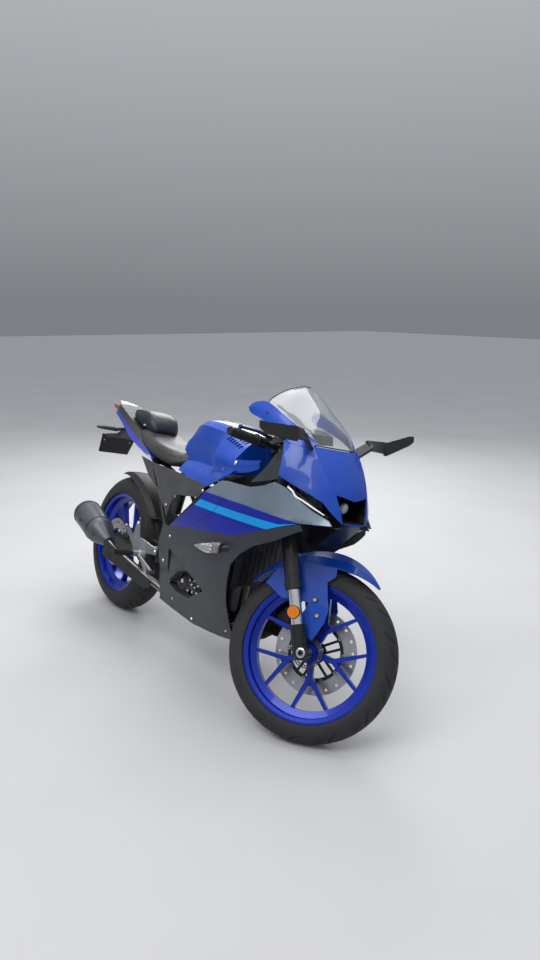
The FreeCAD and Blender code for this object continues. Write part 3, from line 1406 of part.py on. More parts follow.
def make_chain():
    """The drive chain as one closed loop round both sprockets, guarded on its upper run."""
    place = size("chain_place")
    half = size("chain_width") / 2
    rear = V(REAR_AXLE.x, 0, REAR_AXLE.z)
    front = CHAIN_FRONT
    inner_rear = size("sprocket_radius") + 0.6
    inner_front = 25.1
    link_height = 12.0

    def loop(rear_radius, front_radius):
        gap = front - rear
        distance = gap.Length
        tilt = math.atan2(gap.z, gap.x)
        swing = math.acos((rear_radius - front_radius) / distance)

        def at(centre, radius, turn):
            return V(centre.x + radius * math.cos(turn), place - half, centre.z + radius * math.sin(turn))
        top_rear = at(rear, rear_radius, tilt + swing)
        top_front = at(front, front_radius, tilt + swing)
        low_rear = at(rear, rear_radius, tilt - swing)
        low_front = at(front, front_radius, tilt - swing)
        return Part.Wire([
            Part.LineSegment(top_rear, top_front).toShape(),
            Part.Arc(top_front, at(front, front_radius, tilt), low_front).toShape(),
            Part.LineSegment(low_front, low_rear).toShape(),
            Part.Arc(low_rear, at(rear, rear_radius, tilt + math.pi), top_rear).toShape(),
        ])
    outer = Part.Face(loop(inner_rear + link_height, inner_front + link_height))
    inner = Part.Face(loop(inner_rear, inner_front))
    band = outer.cut(inner).extrude(V(0, 2 * half, 0))
    return shaped("chain", band, "root")


make_chain()


def make_rear_caliper():
    place = -size("rear_disc_place")
    block = box_solid((-414, place - 19.7, 318), (-362, place + 22, 380))
    slot = Part.makeCylinder(size("rear_disc_radius") + 5, size("disc_wall") + 10,
                             V(REAR_AXLE.x, place - size("disc_wall") / 2 - 5, REAR_AXLE.z), V(0, 1, 0))
    return shaped("rear_caliper", block.cut(slot), "root")


make_rear_caliper()


PLATE_NORMAL = V(96, 0, -38)
PLATE_NORMAL.normalize()
PLATE_HOLE = V(-812 - 38 / 3, 0, 754) + PLATE_NORMAL * 2


def make_plate_holder():
    """The arm under the tail with its bare plate bracket, lamp and reflector."""
    arm = solid_loft([
        [V(-640, -44, 857), V(-640, 44, 857), V(-640, 40, 838), V(-640, -40, 838)],
        [V(-760, -40, 800), V(-760, 40, 800), V(-752, 40, 780), V(-752, -40, 780)],
        [V(-818, -70, 786), V(-818, 70, 786), V(-806, 70, 770), V(-806, -70, 770)],
    ], straight=True)
    board = plate([V(-812, -92, 786), V(-812, 92, 786), V(-850, 80, 690), V(-850, -80, 690)],
                  PLATE_NORMAL * 4)
    joined = fused([arm, board])
    for side in SIDES:
        middle = V(PLATE_HOLE.x, side * size("plate_hole_half"), PLATE_HOLE.z)
        hole = rod_shape(middle - PLATE_NORMAL * 12, middle + PLATE_NORMAL * 12, size("plate_hole_radius"))
        joined = joined.cut(hole)
    return shaped("plate_holder", joined, "root")


plate_holder = make_plate_holder()


def make_indicators():
    """Front indicators on the fairing sides, slender rear ones on the plate holder."""
    front_root = V(570, 196, 584)
    front = fused([rod_shape(front_root, V(534, 226, 572), 10),
                   solid_loft([box_section(544, 234, 572, 22, 40), box_section(500, 238, 560, 26, 44),
                               box_section(440, 236, 548, 18, 28), box_section(388, 234, 540, 5, 7)],
                              straight=False)])
    rear = fused([rod_shape(V(-640, 38, 838), V(-664, 96, 826), 7),
                  solid_loft([[V(-676, 88, 834), V(-656, 88, 840), V(-654, 88, 818), V(-674, 88, 812)],
                              [V(-694, 186, 828), V(-684, 186, 832), V(-684, 186, 820), V(-692, 186, 816)]],
                             straight=True)])
    front = seated(front, grey, V(0, 0.4, 0))
    front = max(front.Solids, key=lambda solid: solid.Volume)
    rear = seated(rear, plate_holder.Shape, V(0, 0.4, 0))
    return shaped("indicators", Part.makeCompound([both_sides(front), both_sides(rear)]), "root")


make_indicators()


def make_side_stand():
    """The stand: a leg from its eye under the frame to a flat foot on the ground."""
    pivot = PARKED_PIVOT
    foot = PARKED_FOOT
    axis = PARKED.Rotation.multVec(STAND_AXIS)
    along = foot - pivot
    along.normalize()
    leg = rod_shape(pivot + along * 12, foot, 9)
    foot_plate = box_solid((foot.x - 32, foot.y - 20, 0), (foot.x + 32, foot.y + 26, 7))
    eye = rod_shape(pivot - axis * 9, pivot + axis * 9, 17)
    bore = rod_shape(pivot - axis * 30, pivot + axis * 30, 6 + size("running_gap"))
    stand = fused([leg, foot_plate, eye]).cut(bore)
    return shaped("side_stand", stand, "side_stand", PARKED.inverse())


make_side_stand()

# Final placement of every piece


def upright_placement(carrier, local):
    if carrier in ("steering", "front_wheel"):
        return PARKED.multiply(TURNED).multiply(local)
    return PARKED.multiply(local)


def check(item):
    if item.State and ("Invalid" in item.State or "Error" in item.State):
        raise RuntimeError(item.Label + " failed: " + str(item.State))


document.recompute()
low = [math.inf] * 3
high = [-math.inf] * 3
for item, carrier, local in pieces:
    item.Placement = upright_placement(carrier, local)
document.recompute()
for item, carrier, local in pieces:
    if item.Shape.isNull() or item.Shape.Volume < 1:
        raise RuntimeError(item.Label + " is empty")
    box = item.Shape.optimalBoundingBox(False, False)
    low = [min(low[0], box.XMin), min(low[1], box.YMin), min(low[2], box.ZMin)]
    high = [max(high[0], box.XMax), max(high[1], box.YMax), max(high[2], box.ZMax)]
shift = V(-(low[0] + high[0]) / 2, -(low[1] + high[1]) / 2, -low[2])
for item, carrier, local in pieces:
    to_origin = FreeCAD.Placement(shift, FreeCAD.Rotation())
    item.Placement = to_origin.multiply(upright_placement(carrier, local))
document.recompute()

for item in document.Objects:
    check(item)
os.makedirs("parts", exist_ok=True)
for item, carrier, local in pieces:
    shape = item.Shape
    if shape.isNull() or not shape.isValid():
        raise RuntimeError(item.Label + " has no valid shape")
    shape.exportStep("parts/" + item.Label + ".step")

# Measured results: the box, and where the joints lie in the parked frame


def parked(point, steered=False):
    place = PARKED.multiply(TURNED) if steered else PARKED
    return place.multVec(point) + shift


print("box", [round(b - a, 1) for a, b in zip(low, high)], "lowest", round(low[2], 3))
print("pieces", len(pieces))
print("wheelbase", round(FRONT_AXLE.x - REAR_AXLE.x, 1))
print("steering axis point", parked(HEAD), "direction", PARKED.Rotation.multVec(AXIS_UP))
print("front axle", parked(FRONT_AXLE, True), PARKED.Rotation.multVec(STEER.multVec(V(0, 1, 0))))
print("rear axle", parked(REAR_AXLE), PARKED.Rotation.multVec(V(0, 1, 0)))
print("stand pivot", parked(STAND_PIVOT), PARKED.Rotation.multVec(STAND_AXIS))
print("cap hinge", parked(CAP_HINGE), PARKED.Rotation.multVec(V(0, 1, 0)))
for side in SIDES:
    print("paddock hole", side, parked(V(BOBBIN_X, side * 117, BOBBIN_Z)),
          PARKED.Rotation.multVec(V(0, side, 0)))
    print("plate hole", side, parked(V(PLATE_HOLE.x, side * size("plate_hole_half"), PLATE_HOLE.z)),
          PARKED.Rotation.multVec(PLATE_NORMAL * -1))
print("stem bore", parked(FORK_FOOT + AXIS_UP * (HEAD_LOW + 66)), PARKED.Rotation.multVec(AXIS_UP))
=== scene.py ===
# %% [markdown]
# # A sport bike on its side stand
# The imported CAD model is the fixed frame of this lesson. It gives the true place and size of every
# piece. Blender adds what a viewer sees: paint, rubber, seams, bolts and curved panels.

# %% Load the frame and keep its box
import json
import math

import bmesh
import bpy
from mathutils import Matrix, Vector
from mathutils.bvhtree import BVHTree


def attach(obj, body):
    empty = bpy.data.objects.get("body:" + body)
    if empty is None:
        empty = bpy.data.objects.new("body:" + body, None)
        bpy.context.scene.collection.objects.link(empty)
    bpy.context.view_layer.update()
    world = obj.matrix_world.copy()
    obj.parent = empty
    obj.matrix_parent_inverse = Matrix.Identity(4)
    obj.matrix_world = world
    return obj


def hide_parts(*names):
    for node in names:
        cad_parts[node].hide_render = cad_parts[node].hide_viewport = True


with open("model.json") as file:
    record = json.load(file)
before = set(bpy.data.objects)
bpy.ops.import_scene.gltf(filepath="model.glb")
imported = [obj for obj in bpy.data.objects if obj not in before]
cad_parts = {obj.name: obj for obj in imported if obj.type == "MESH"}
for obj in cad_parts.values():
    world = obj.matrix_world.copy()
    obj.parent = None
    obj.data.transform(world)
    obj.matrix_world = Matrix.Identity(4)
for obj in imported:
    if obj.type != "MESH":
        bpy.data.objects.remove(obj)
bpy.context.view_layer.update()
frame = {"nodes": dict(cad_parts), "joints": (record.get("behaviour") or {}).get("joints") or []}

# %% [markdown]
# ## Where up and ahead are on a leaning bike
# The parked bike leans to its left with the bars turned, so its panels are not square to the floor.
# The joint axes tell how it stands: the rear axle is the bike's left, and the steering axis lies in
# its middle plane. Each piece can then be drawn upright, in millimetres as in a parts manual, and
# one matrix carries it to its parked place. That is easier to read than tilted numbers.

# %% Bike frame, fork frame and wheel frames
RAKE = math.radians(26.0)
REAR_AXLE = Vector((-500.0, 0.0, 313.9))
FORK_DROP = 570.0
MM = 0.001

joints = {joint["name"]: joint for joint in frame["joints"]}


def joint_axis(name):
    return Vector(joints[name]["axis"]).normalized()


def joint_place(name):
    return Vector(joints[name]["pos_m"])


def frame_matrix(x_axis, y_axis, z_axis, origin):
    """Matrix from millimetres in a local frame to metres in the parked model."""
    turn = Matrix((x_axis, y_axis, z_axis)).transposed().to_4x4()
    return Matrix.Translation(origin) @ turn @ Matrix.Scale(MM, 4)


left = joint_axis("rear_wheel_spin")
steer_up = joint_axis("steering")
square_ahead = left.cross(steer_up)
bike_ahead = square_ahead * math.cos(RAKE) - steer_up * math.sin(RAKE)
bike_up = square_ahead * math.sin(RAKE) + steer_up * math.cos(RAKE)
rear_hub = joint_place("rear_wheel_spin")
bike_origin = rear_hub - (bike_ahead * REAR_AXLE.x + bike_up * REAR_AXLE.z) * MM
BIKE = frame_matrix(bike_ahead, left, bike_up, bike_origin)

turned_left = joint_axis("front_wheel_spin")
fork_ahead = turned_left.cross(steer_up)
fork_origin = joint_place("steering") - steer_up * FORK_DROP * MM
FORK = frame_matrix(fork_ahead, turned_left, steer_up, fork_origin)

# The front wheel's own frame has its X level with the straight bike's, as in the CAD
wheel_ahead = fork_ahead * math.cos(RAKE) - steer_up * math.sin(RAKE)
wheel_up = fork_ahead * math.sin(RAKE) + steer_up * math.cos(RAKE)
FRONT_WHEEL = frame_matrix(wheel_ahead, turned_left, wheel_up, joint_place("front_wheel_spin"))
REAR_WHEEL = frame_matrix(bike_ahead, left, bike_up, rear_hub)
print("bike origin", [round(c, 4) for c in bike_origin])
print("lean", round(math.degrees(math.asin(-left.z)), 1), "degrees")

# %% [markdown]
# ## The camera
# The photograph looks down at the bike's front right corner from eye height. Its place was worked
# out from the outlines of both wheels, so the same view can be laid over the photograph.

# %% Camera at the photograph's view
CAMERA_FROM_BIKE = Vector((2.4867, -1.3560, 1.4132))
CAMERA_AROUND = math.radians(52.84)
CAMERA_DOWN = math.radians(13.73)
CAMERA_ROLL = math.radians(0.65)
CAMERA_LENS = 26.64

look = Vector((-math.sin(CAMERA_AROUND) * math.cos(CAMERA_DOWN),
               math.cos(CAMERA_AROUND) * math.cos(CAMERA_DOWN),
               -math.sin(CAMERA_DOWN)))
level_right = Vector((math.cos(CAMERA_AROUND), math.sin(CAMERA_AROUND), 0.0))
level_up = level_right.cross(look)
right = level_right * math.cos(CAMERA_ROLL) + level_up * math.sin(CAMERA_ROLL)
up = level_up * math.cos(CAMERA_ROLL) - level_right * math.sin(CAMERA_ROLL)
camera_data = bpy.data.cameras.new("photo_camera")
camera_data.lens = CAMERA_LENS
camera_data.sensor_width = 36.0
camera = bpy.data.objects.new("photo_camera", camera_data)
camera_place = Matrix.Translation(bike_origin + CAMERA_FROM_BIKE)
camera.matrix_world = camera_place @ Matrix((right, up, -look)).transposed().to_4x4()
bpy.context.scene.collection.objects.link(camera)
bpy.context.scene.camera = camera
print("camera lens", CAMERA_LENS, "mm")

# %% [markdown]
# ## Colours and surfaces
# Every finish is a small network of nodes. Noise gives paint, rubber and plastic the slight change
# of tone and the fine bump that real ones have, and it needs no picture. Object coordinates are in
# metres here, so a noise scale of 800 gives a grain a little over a millimetre across.

# %% Helpers that build a finish


def start_finish(name):
    print("finish", name)
    finish = bpy.data.materials.new(name)
    finish.use_nodes = True
    tree = finish.node_tree
    place = tree.nodes.new("ShaderNodeTexCoord")
    return finish, tree, tree.nodes["Principled BSDF"], place.outputs["Object"]


def add_noise(tree, where, scale, detail=3.0):
    noise = tree.nodes.new("ShaderNodeTexNoise")
    noise.inputs["Scale"].default_value = scale
    noise.inputs["Detail"].default_value = detail
    tree.links.new(where, noise.inputs["Vector"])
    return noise.outputs["Fac"]


def shade(colour, factor):
    return tuple(min(1.0, channel * factor) for channel in colour)


def mottle(tree, shader, where, scale, dark, pale):
    """A base colour that drifts between two tones, so no surface is perfectly even."""
    ramp = tree.nodes.new("ShaderNodeValToRGB")
    tree.links.new(add_noise(tree, where, scale), ramp.inputs["Fac"])
    for element, place, tone in zip(ramp.color_ramp.elements, (0.3, 0.7), (dark, pale)):
        element.position = place
        element.color = (*tone, 1.0)
    tree.links.new(ramp.outputs["Color"], shader.inputs["Base Color"])


def spread_roughness(tree, shader, value, low, high):
    spread = tree.nodes.new("ShaderNodeMapRange")
    spread.inputs["To Min"].default_value = low
    spread.inputs["To Max"].default_value = high
    tree.links.new(value, spread.inputs["Value"])
    tree.links.new(spread.outputs["Result"], shader.inputs["Roughness"])


def add_bump(tree, shader, height, strength, distance):
    bump = tree.nodes.new("ShaderNodeBump")
    bump.inputs["Strength"].default_value = strength
    bump.inputs["Distance"].default_value = distance
    tree.links.new(height, bump.inputs["Height"])
    tree.links.new(bump.outputs["Normal"], shader.inputs["Normal"])


def set_values(shader, values):
    for socket, value in values.items():
        shader.inputs[socket].default_value = value


print("finish helpers ready")

# %% [markdown]
# ### Gloss paint
# Bodywork is pigment under clear lacquer: a soft base with a mirror-like coat on top. The coat
# carries the reflections, and a very weak, wide bump gives the slight ripple of sprayed plastic.

# %% Gloss paint and metallic paint


def gloss_paint(name, colour, metallic=0.0, rough=0.35, coat=1.0):
    finish, tree, shader, where = start_finish(name)
    mottle(tree, shader, where, 9.0, shade(colour, 0.92), shade(colour, 1.08))
    spread_roughness(tree, shader, add_noise(tree, where, 500.0), rough - 0.05, rough + 0.05)
    set_values(shader, {"Metallic": metallic, "Specular IOR Level": 0.3, "Coat Weight": coat,
                        "Coat Roughness": 0.04})
    add_bump(tree, shader, add_noise(tree, where, 160.0, 2.0), 0.03, 0.002)
    return finish


royal_blue = gloss_paint("royal_blue_paint", (0.0, 0.046, 0.36), coat=0.4)
deep_blue = gloss_paint("deep_blue_paint", (0.001, 0.009, 0.25), coat=0.4)
cyan_stripe = gloss_paint("cyan_stripe_paint", (0.0, 0.25, 0.62), coat=0.25)
silver_grey = gloss_paint("silver_grey_paint", (0.15, 0.19, 0.24), metallic=0.55, rough=0.34, coat=0.5)
pale_silver = gloss_paint("pale_silver_paint", (0.55, 0.57, 0.6), metallic=0.4)
rim_blue = gloss_paint("rim_blue_paint", (0.002, 0.022, 0.32), metallic=0.3, rough=0.36, coat=0.3)
coated_black = gloss_paint("coated_black_metal", (0.014, 0.014, 0.016), metallic=0.3, rough=0.4, coat=0.25)
fork_black = gloss_paint("fork_tube_coating", (0.03, 0.03, 0.034), metallic=0.6, rough=0.3, coat=0.5)
frame_black = gloss_paint("frame_paint", (0.02, 0.02, 0.023), metallic=0.3, rough=0.45, coat=0.2)
silencer_grey = gloss_paint("silencer_coating", (0.085, 0.092, 0.105), metallic=0.5, rough=0.45, coat=0.15)

# %% [markdown]
# ### Satin plastic, rubber and vinyl
# Moulded plastic has a fine grain and scatters its highlights. Tyre rubber is darker and rougher,
# and seat vinyl has a leather-like grain of small cells.

# %% Plastic, rubber and vinyl


def satin_plastic(name, colour, rough=0.5, grain=700.0, depth=0.12):
    finish, tree, shader, where = start_finish(name)
    mottle(tree, shader, where, 14.0, shade(colour, 0.86), shade(colour, 1.14))
    spread_roughness(tree, shader, add_noise(tree, where, 30.0), rough - 0.06, rough + 0.06)
    add_bump(tree, shader, add_noise(tree, where, grain, 2.0), depth, 0.0006)
    return finish


def vinyl(name, colour):
    finish, tree, shader, where = start_finish(name)
    mottle(tree, shader, where, 20.0, shade(colour, 0.8), shade(colour, 1.25))
    cells = tree.nodes.new("ShaderNodeTexVoronoi")
    cells.inputs["Scale"].default_value = 420.0
    tree.links.new(where, cells.inputs["Vector"])
    add_bump(tree, shader, cells.outputs["Distance"], 0.35, 0.0006)
    set_values(shader, {"Roughness": 0.42, "Specular IOR Level": 0.4})
    return finish


fairing_grey = satin_plastic("fairing_grey_plastic", (0.021, 0.025, 0.032), 0.42)
cover_grey = satin_plastic("side_cover_plastic", (0.05, 0.05, 0.052), 0.45)
matte_black = satin_plastic("matte_black_plastic", (0.011, 0.011, 0.012), 0.55)
lamp_black = satin_plastic("lamp_black_plastic", (0.006, 0.006, 0.007), 0.22, grain=300.0, depth=0.03)
guide_white = satin_plastic("light_guide_plastic", (0.86, 0.87, 0.88), 0.25, grain=120.0, depth=0.02)
display_glass = satin_plastic("display_glass", (0.02, 0.024, 0.022), 0.08, grain=90.0, depth=0.01)
tyre_black = satin_plastic("tyre_rubber", (0.014, 0.014, 0.015), 0.72, grain=260.0, depth=0.3)
grip_black = satin_plastic("grip_rubber", (0.012, 0.012, 0.012), 0.8, grain=500.0, depth=0.5)
seat_vinyl = vinyl("seat_vinyl", (0.022, 0.022, 0.022))
pad_vinyl = vinyl("pad_vinyl", (0.008, 0.01, 0.02))

# %% [markdown]
# ### Bare metals
# Chrome is a mirror with almost no grain. Brushed steel keeps fine scratches, and cast alloy is
# grainy and dull. The mirrors' glass is silvered, so it is a bare metal too.

# %% Metals


def bare_metal(name, colour, rough, grain, depth):
    finish, tree, shader, where = start_finish(name)
    mottle(tree, shader, where, 25.0, shade(colour, 0.9), shade(colour, 1.1))
    spread_roughness(tree, shader, add_noise(tree, where, 80.0), rough * 0.75, rough * 1.25)
    add_bump(tree, shader, add_noise(tree, where, grain), depth, 0.0004)
    set_values(shader, {"Metallic": 1.0})
    return finish


chrome = bare_metal("chromed_steel", (0.72, 0.73, 0.75), 0.08, 300.0, 0.02)
disc_steel = bare_metal("disc_steel", (0.42, 0.42, 0.43), 0.3, 900.0, 0.1)
cast_alloy = bare_metal("cast_alloy", (0.38, 0.39, 0.41), 0.42, 600.0, 0.25)
dark_alloy = bare_metal("dark_alloy", (0.09, 0.09, 0.1), 0.45, 600.0, 0.25)
chain_steel = bare_metal("chain_steel", (0.16, 0.15, 0.13), 0.4, 700.0, 0.2)
pipe_steel = bare_metal("pipe_steel", (0.22, 0.2, 0.18), 0.32, 400.0, 0.1)
mirror_glass = bare_metal("mirror_glass", (0.8, 0.82, 0.84), 0.03, 200.0, 0.0)

# %% [markdown]
# ### Glass and lenses
# The screen is clear plastic with a slight smoke tint. Lamp lenses are clearer, and the reflector
# and indicator lenses are coloured through.

# %% Clear and coloured lenses


def lens(name, colour, transmission, rough=0.03):
    finish, tree, shader, where = start_finish(name)
    mottle(tree, shader, where, 6.0, shade(colour, 0.96), colour)
    set_values(shader, {"Transmission Weight": transmission, "Roughness": rough, "IOR": 1.45})
    return finish


screen_clear = lens("screen_plastic", (0.78, 0.81, 0.84), 0.95)
lamp_clear = lens("lamp_glass", (0.92, 0.94, 0.96), 0.85)
amber_lens = lens("amber_lens", (0.9, 0.25, 0.01), 0.25, 0.12)
red_lens = lens("red_lens", (0.5, 0.01, 0.01), 0.3, 0.1)

# %% [markdown]
# ### Which finish goes where
# Every CAD solid gets a finish, also the ones that a detailed skin takes over later. The table reads
# like a paint shop's list: one finish, then the pieces that come in it.

# %% Table of finishes
FINISH_NODES = [
    (frame_black, "frame subframe rear_shock"),
    (dark_alloy, "engine radiator"),
    (silver_grey, "upper_side_panels"),
    (deep_blue, "blue_side_panels"),
    (fairing_grey, "lower_fairings belly_pan inner_panels"),
    (cover_grey, "side_covers"),
    (royal_blue, "nose_cowl fuel_tank front_fender"),
    (screen_clear, "windscreen"),
    (lamp_black, "lamp_duct position_lamps mirrors"),
    (lamp_clear, "head_lamp indicators"),
    (matte_black, "instrument rear_hugger plate_holder"),
    (chrome, "cap_ring fork_stanchions"),
    (cast_alloy, "fuel_cap rearsets"),
    (seat_vinyl, "rider_seat"),
    (pad_vinyl, "pillion_pad"),
    (pale_silver, "tail_cowl"),
    (red_lens, "tail_lamp"),
    (coated_black, "swingarm foot_pegs rear_caliper triple_clamps axle_lugs clip_ons levers front_caliper "
                   "side_stand"),
    (pipe_steel, "exhaust_pipe"),
    (silencer_grey, "silencer"),
    (chain_steel, "chain"),
    (fork_black, "fork_tubes"),
    (grip_black, "grips"),
    (amber_lens, "reflectors"),
    (tyre_black, "front_tyre rear_tyre"),
    (rim_blue, "front_rim rear_rim"),
    (disc_steel, "front_disc rear_disc rear_sprocket"),
]
print("finishes in use", len(FINISH_NODES))

# %% [markdown]
# ### Painting the nodes
# A curved face is shaded smooth. An edge stays sharp where its two faces meet at more than 32
# degrees, as the edge of a casting does.

# %% Give every CAD node its finish
SMOOTH_UP_TO = math.radians(32.0)


def paint(node_name, *finishes):
    mesh = frame["nodes"][node_name].data
    mesh.materials.clear()
    for finish in finishes:
        mesh.materials.append(finish)


for finish, node_names in FINISH_NODES:
    for node_name in node_names.split():
        paint(node_name, finish)
for node in frame["nodes"].values():
    node.data.shade_smooth()
    node.data.set_sharp_from_angle(angle=SMOOTH_UP_TO)
print("finishes on", sum(len(names.split()) for _, names in FINISH_NODES), "nodes")

# %% [markdown]
# ## Tools for shaping panels
# Bodywork is drawn as a few cross-sections, as a panel maker sets up a row of templates. A smooth
# curve through the same point of every template then gives the skin between them. The curve passes
# through its points, so a panel stays on the CAD surface. Subdivision would pull it inwards.

# %% Smooth rows and grids of points


def smooth_row(points, steps):
    """Points on a smooth curve through the given points, with that many steps to each span."""
    first = points[0] * 2 - points[1]
    last = points[-1] * 2 - points[-2]
    path = [first] + list(points) + [last]
    row = []
    for before, start, end, after in zip(path, path[1:], path[2:], path[3:]):
        for step in range(steps):
            t = step / steps
            bend = before * 2 - start * 5 + end * 4 - after
            twist = start * 3 - before - end * 3 + after
            row.append((start * 2 + (end - before) * t + bend * t ** 2 + twist * t ** 3) / 2)
    row.append(points[-1].copy())
    return row


def creased_row(points, steps, corners=()):
    """A smooth row that keeps a sharp corner at the points with these numbers."""
    marks = [0] + list(corners) + [len(points) - 1]
    row = []
    for start, end in zip(marks, marks[1:]):
        row += smooth_row(points[start:end + 1], steps)[:-1]
    return row + [points[-1].copy()]


def smooth_along(rows, steps):
    """Smooth curves through the matching points of every row, as finer rows."""
    columns = [smooth_row(list(column), steps) for column in zip(*rows)]
    return [list(row) for row in zip(*columns)]


def smooth_grid(rows, along, across, corners=()):
    """A fine grid through coarse rows: along steps between rows, across steps within each row."""
    return smooth_along([creased_row(row, across, corners) for row in rows], along)


def at_x(x, pairs, side=1):
    """Points of a cross-section at x, from (across, height) pairs."""
    return [Vector((x, side * y, z)) for y, z in pairs]


print("curve and grid helpers ready")

# %% [markdown]
# ### Meshes from grids and rings
# Each piece is gathered in a bmesh in millimetres, so several small things can share one object.
# Grids make skins, and rings of points with two flat ends make closed forms.

# %% Faces over grids and rings
AHEAD = Vector((1, 0, 0))
LEFT = Vector((0, 1, 0))
UP = Vector((0, 0, 1))
# Points closer than this, in millimetres, are welded
WELD = 0.002


def circle(count, shift=0.0):
    """The angles of a circle in equal steps; shift turns the first one by that many steps."""
    return [2 * math.pi * (number + shift) / count for number in range(count)]


def add_grid(shape, grid, loop=False):
    """Faces over rows of points; loop closes each row into a ring."""
    rows = [[shape.verts.new(point) for point in row] for row in grid]
    count = len(rows[0])
    for low, high in zip(rows, rows[1:]):
        for i in range(count if loop else count - 1):
            j = (i + 1) % count
            shape.faces.new((low[i], low[j], high[j], high[i]))
    return rows


def add_solid(shape, rings):
    """A closed form through rings of points, with a flat face at each end."""
    rows = add_grid(shape, rings, loop=True)
    shape.faces.new(rows[0])
    shape.faces.new(rows[-1])


print("welding points within", WELD, "mm")

# %% [markdown]
# ### Turned forms, tubes and bolts
# A lathe makes bolts, lenses and nuts from a profile, and so does the first helper. A tube is a ring
# carried along a curve. It makes piping, stalks and springs.

# %% Turned forms, tubes and bolts


def add_turned(shape, profile, middle, axis, sides=24, finish=0):
    """A turned form from (radius, height) points round an axis that starts at middle."""
    turn = Vector(axis).to_track_quat("Z", "Y").to_matrix()
    rows = []
    for radius, height in profile:
        if radius == 0:
            rows.append([shape.verts.new(Vector(middle) + turn @ Vector((0, 0, height)))])
            continue
        rows.append([])
        for angle in circle(sides):
            offset = Vector((radius * math.cos(angle), radius * math.sin(angle), height))
            rows[-1].append(shape.verts.new(Vector(middle) + turn @ offset))
    for low, high in zip(rows, rows[1:]):
        for i in range(sides):
            j = (i + 1) % sides
            corners = [low[i % len(low)], low[j % len(low)], high[j % len(high)], high[i % len(high)]]
            unique = list(dict.fromkeys(corners))
            if len(unique) > 2:
                shape.faces.new(unique).material_index = finish


def add_tube(shape, points, radius, sides, steps):
    """A round tube along a smooth curve, closed at both ends."""
    path = smooth_row([Vector(point) for point in points], steps)
    side = None
    rings = []
    for index, point in enumerate(path):
        ahead = path[min(index + 1, len(path) - 1)] - path[max(index - 1, 0)]
        ahead.normalize()
        side = ahead.orthogonal() if side is None else side - ahead * side.dot(ahead)
        side.normalize()
        other = ahead.cross(side)
        rings.append([point + (side * math.cos(angle) + other * math.sin(angle)) * radius
                      for angle in circle(sides)])
    add_solid(shape, rings)


def add_bolt(shape, middle, axis, radius, height):
    """A button-head screw with a round-bottomed socket, and the washer under it."""
    washer = [(0, 0), (radius * 1.35, 0), (radius * 1.35, 0.9), (radius, 1.0)]
    head = [(radius, height * 0.55), (radius * 0.72, height), (radius * 0.42, height)]
    socket = [(radius * 0.38, height * 0.4), (0, height * 0.3)]
    add_turned(shape, washer + head + socket, middle, axis, 18)


print("turned forms, tubes and bolts ready")

# %% [markdown]
# ### From a shape to a piece
# Most pieces come in pairs, so a shape can be mirrored before it is made. A piece rides on the body
# that carries it on the real bike.

# %% Mirror a shape and make it a piece


def add_mirror(shape):
    """Add the other side of the bike: the same faces with left and right exchanged."""
    copies = bmesh.ops.duplicate(shape, geom=shape.verts[:] + shape.edges[:] + shape.faces[:])["geom"]
    for item in copies:
        if isinstance(item, bmesh.types.BMVert):
            item.co.y = -item.co.y


def make_piece(name, shape, slot, *finishes, place=BIKE, body="chassis", smooth=SMOOTH_UP_TO, both=False):
    """A shape becomes an object that rides on a body; both adds its mirror image first.

    The place matrix carries the shape's millimetres into the model's metres.
    """
    if both:
        add_mirror(shape)
    bmesh.ops.remove_doubles(shape, verts=shape.verts, dist=WELD)
    bmesh.ops.recalc_face_normals(shape, faces=shape.faces)
    mesh = bpy.data.meshes.new(name)
    shape.to_mesh(mesh)
    shape.free()
    mesh.transform(place)
    for finish in finishes:
        mesh.materials.append(finish)
    mesh.shade_smooth()
    mesh.set_sharp_from_angle(angle=smooth)
    piece = bpy.data.objects.new(name, mesh)
    bpy.context.scene.collection.objects.link(piece)
    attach(piece, body)
    print(name, len(mesh.polygons), "faces")
    return piece


print("shapes are drawn in millimetres and placed at a scale of", MM)

# %% [markdown]
# ### Cutting a panel to its outline
# A moulded panel is trimmed along its edge lines. A Boolean with a flat prism does the same: the
# curved skin is made too large, and the prism keeps what lies inside the outline.

# %% Trim and cut with solids


def loose_object(name, shape):
    """A helper object that is removed again after it has been used."""
    mesh = bpy.data.meshes.new(name)
    shape.to_mesh(mesh)
    shape.free()
    loose = bpy.data.objects.new(name, mesh)
    bpy.context.scene.collection.objects.link(loose)
    return loose


def combine(shape, cutter, operation):
    """The Boolean of two closed bmeshes, as a new bmesh."""
    for solid in (shape, cutter):
        bmesh.ops.remove_doubles(solid, verts=solid.verts, dist=WELD)
        bmesh.ops.recalc_face_normals(solid, faces=solid.faces)
    stock = loose_object("stock", shape)
    tool = loose_object("tool", cutter)
    trim = stock.modifiers.new("trim", "BOOLEAN")
    trim.solver = "EXACT"
    trim.operation = operation
    trim.object = tool
    result = bmesh.new()
    result.from_object(stock, bpy.context.evaluated_depsgraph_get())
    for loose in (stock, tool):
        bpy.data.objects.remove(loose)
    return result


def side_prism(outline, low, high):
    """A prism across the bike from a side-view outline of (x, z) points."""
    prism = bmesh.new()
    add_solid(prism, [[Vector((x, y, z)) for x, z in outline] for y in (low, high)])
    return prism


print("cutting tools ready")

# %% [markdown]
# ### Panels of even thickness
# A moulded panel has the same wall everywhere. The grid is copied inward along its own normals, and
# the two are joined round the border, so the panel is closed and can be cut.

# %% Thick skins and joined shapes


